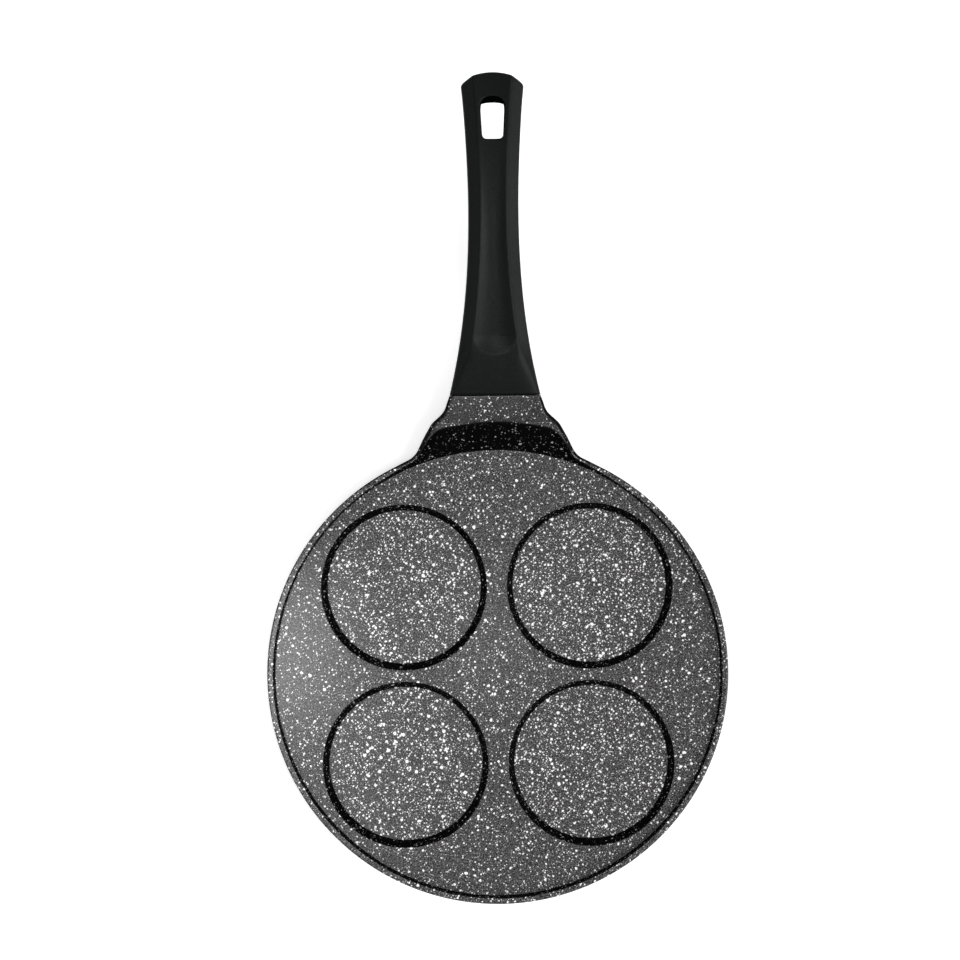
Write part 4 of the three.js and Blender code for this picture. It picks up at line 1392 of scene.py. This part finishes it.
def mark_casting(mesh):
    """How thick the spray lies (full on the wells' floors, less on the land, none on the neck), a mask for
    painted shade, and bare metal on the machined base. The mask falls from 1 to 0 as the surface gets
    steeper, sooner inside the rim than on its outer edge, and is a little lower on the neck: where it is low
    the coating paints its ground black and dims its specks, as painted shade on steep walls and on the neck."""
    x, y, z = vertex_places(mesh).T
    from_well = np.hypot(np.abs(x) - WELL_ACROSS, np.abs(y + WELL_SHIFT) - WELL_ALONG)
    floor_radius = WELL_MOUTH - WELL_WALL_RUN
    well = smoothstep(-from_well, -floor_radius, SPRAY_FADE - floor_radius) * (z < COOKING)
    neck = smoothstep(y, LEAVE_Y, SHOULDER_Y) * (z > RIM)
    land = LAND_SPRAY * (1 - neck) * smoothstep(from_well, floor_radius, WELL_MOUTH)
    marked(mesh, "spray", mixed(land, 1, well))
    normals = np.empty(3 * len(mesh.vertices), np.float32)
    mesh.vertex_normals.foreach_get("vector", normals)
    # On the rim's outer edge the painted shade starts only on steeper slopes, and not near the neck.
    crest = RIM_FOOT + RIM_DRAFT + RIM_CREST
    outside = smoothstep(np.hypot(x, y), crest, crest + RIM_EDGE)
    outside = outside * smoothstep(-y, -LEAVE_Y, EDGE_BLEND - LEAVE_Y)
    dark = mixed(WALL_PAINTED_SHADE_FULL, EDGE_PAINTED_SHADE_FULL, outside)
    pale = mixed(WALL_PAINTED_SHADE_GONE, EDGE_PAINTED_SHADE_GONE, outside)
    # The mask for painted shade: 1 on flat places, 0 on steep walls, a little less on the neck.
    marked(mesh, "flat_unshaded", smoothstep(normals[2::3], dark, pale) * (1 - NECK_PAINTED_SHADE * neck))
    x, y, z = face_places(mesh).T
    bare = (z < 2 * PLATE_THICKNESS) & (np.hypot(x, y) < TURNED_RADIUS)
    mesh.polygons.foreach_set("material_index", bare.astype(np.int32))


def mark_slot(mesh):
    """The dull finish on the walls of the hanging slot."""
    normals = np.empty(3 * len(mesh.polygons), np.float32)
    mesh.polygon_normals.foreach_get("vector", normals)
    x, y, _ = face_places(mesh).T
    along = np.abs(y - HANDLE_Y - (SLOT_NEAR + SLOT_FAR) / 2) < SLOT_LENGTH / 2 + SLOT_LIP
    across = np.abs(x) < SLOT_FAR_HALF + SLOT_LIP
    wall = along & across & (np.abs(normals[2::3]) < SLOT_WALL_UPRIGHT)
    mesh.polygons.foreach_set("material_index", wall.astype(np.int32))


# Pieces

coating = coating_finish()
plastic = handle_finish("matt_black_plastic", PLASTIC_GLOSS)
slot_plastic = handle_finish("dull_black_plastic", 0.0)
plate_steel = turned_finish("turned_steel", STEEL_TONE, STEEL_RINGS)
bare_aluminium = turned_finish("turned_aluminium", ALUMINIUM_TONE, ALUMINIUM_RINGS)
plated_steel = plated_finish()

casting = piece("pan_casting", "pan_body", [coating, bare_aluminium], casting_surfaces())
mark_casting(casting.data)
grip = piece("handle_grip", "handle", [plastic, slot_plastic], handle_surfaces())
mark_slot(grip.data)
piece("base_plate", "induction_plate", [plate_steel], plate_surfaces())
piece("fixing_screw", "handle_screw", [plated_steel], [screw_surface()])
piece("plain_washer", "flat_washer", [plated_steel], [flat_washer_surface()])
piece("split_washer", "spring_washer", [plated_steel], [spring_washer_surface()])

# Floor, light and camera

FLOOR_REACH = 60.0
FLOOR_WHITE = 0.93
FLOOR_GRAIN = 0.01
FLOOR_SCALES = (300.0, 3.0)
FLOOR_RANGE = (0.2, 0.8)
FLOOR_ROUGHNESS = 0.9
FLOOR_LIFT = 0.42
WORLD_STRENGTH = 0.06


def studio_floor():
    """A wide pale floor with a faint paper grain. Seen directly or in a gloss, it is lifted to white."""
    mesh = bpy.data.meshes.new("studio_floor")
    corners = FLOOR_REACH * np.array([(-1, -1, 0), (1, -1, 0), (1, 1, 0), (-1, 1, 0)])
    mesh.from_pydata(corners, [], [(0, 1, 2, 3)])
    material, tree, shader = finish("pale_floor", Roughness=FLOOR_ROUGHNESS, Specular_IOR_Level=0.0,
                                    Emission_Color=grey(1.0))
    fine, _ = grained(tree, object_place(tree), *FLOOR_SCALES)
    tone = ranged(tree, fine, *FLOOR_RANGE)
    colour = colour_mix(tree, tone, grey(FLOOR_WHITE - FLOOR_GRAIN), grey(FLOOR_WHITE + FLOOR_GRAIN))
    tree.links.new(colour, shader.inputs["Base Color"])
    path = added(tree, "ShaderNodeLightPath").outputs
    seen = math_node(tree, "MAXIMUM", path["Is Camera Ray"], path["Is Glossy Ray"])
    seen = math_node(tree, "MAXIMUM", seen, path["Is Transmission Ray"])
    tree.links.new(math_node(tree, "MULTIPLY", seen, FLOOR_LIFT), shader.inputs["Emission Strength"])
    mesh.materials.append(material)
    in_scene("studio_floor", mesh)


def sun(name, strength, disc_degrees, lean_x, lean_y):
    """A soft light at infinity with a disc that wide; it stands over the pan, leant towards +x and +y by
    those degrees."""
    lamp = bpy.data.lights.new(name, "SUN")
    lamp.energy = strength
    lamp.angle = math.radians(disc_degrees)
    in_scene(name, lamp).rotation_euler = (math.radians(-lean_y), math.radians(lean_x), 0)


def small_softbox(name, power, radius, spread_degrees, place, target):
    """A small round softbox near the pan, turned to a point on it and left out of the camera's view; its
    grid keeps the light within the spread."""
    lamp = bpy.data.lights.new(name, "AREA")
    lamp.shape = "DISK"
    lamp.size = 2 * radius
    lamp.energy = power
    lamp.spread = math.radians(spread_degrees)
    made = in_scene(name, lamp)
    made.location = place
    made.rotation_euler = (Vector(target) - Vector(place)).to_track_quat("-Z", "Y").to_euler()
    made.visible_camera = False


def studio_world(strength):
    """A dim even grey all round."""
    world = bpy.data.worlds.new("studio")
    world.use_nodes = True
    background = world.node_tree.nodes["Background"]
    background.inputs["Color"].default_value = grey(1.0)
    background.inputs["Strength"].default_value = strength
    bpy.context.scene.world = world


CAMERA_PLACE = (-0.00891, 0.10943, 1.1155)
CAMERA_TURN = math.radians(-0.6)
CAMERA_LENS = 73.06
CAMERA_SENSOR = 36.0


def photo_camera():
    """The camera straight over the pan, turned a little."""
    lens = bpy.data.cameras.new("photo_camera")
    lens.lens = CAMERA_LENS
    lens.sensor_width = CAMERA_SENSOR
    made = in_scene("photo_camera", lens)
    made.location = CAMERA_PLACE
    made.rotation_euler = (0, 0, CAMERA_TURN)
    bpy.context.scene.camera = made


studio_floor()
sun("ceiling_fill", strength=1.7, disc_degrees=150.0, lean_x=0.0, lean_y=0.0)
sun("right_softbox", strength=1.25, disc_degrees=30.0, lean_x=33.0, lean_y=-11.0)
sun("right_strip", strength=0.6, disc_degrees=24.0, lean_x=75.0, lean_y=-4.0)
sun("back_softbox", strength=0.16, disc_degrees=22.0, lean_x=6.0, lean_y=33.0)
sun("left_softbox", strength=0.3, disc_degrees=44.0, lean_x=-62.0, lean_y=-14.0)
small_softbox("overhead_softbox", power=0.0049, radius=0.065, spread_degrees=30.0,
              place=(-0.01, -0.06, 1.0), target=(0.0, -0.03, 0.0))
small_softbox("handle_softbox", power=0.011, radius=0.1, spread_degrees=16.0,
              place=(-0.03, 0.02, 1.0), target=(0.0, 0.245, 0.04))
small_softbox("groove_softbox", power=0.0013, radius=0.04, spread_degrees=6.0,
              place=(-0.03, 0.18, 0.38), target=(-0.003, 0.186, 0.03))
small_softbox("left_glow", power=0.019, radius=0.07, spread_degrees=32.0,
              place=(-0.2, -0.031, 0.6), target=(-0.115, 0.018, 0.0))
small_softbox("left_low_glow", power=0.0075, radius=0.1, spread_degrees=32.0,
              place=(-0.165, -0.165, 0.6), target=(-0.1, -0.07, 0.0))
studio_world(WORLD_STRENGTH)
photo_camera()
bpy.context.scene.view_settings.view_transform = "Standard"
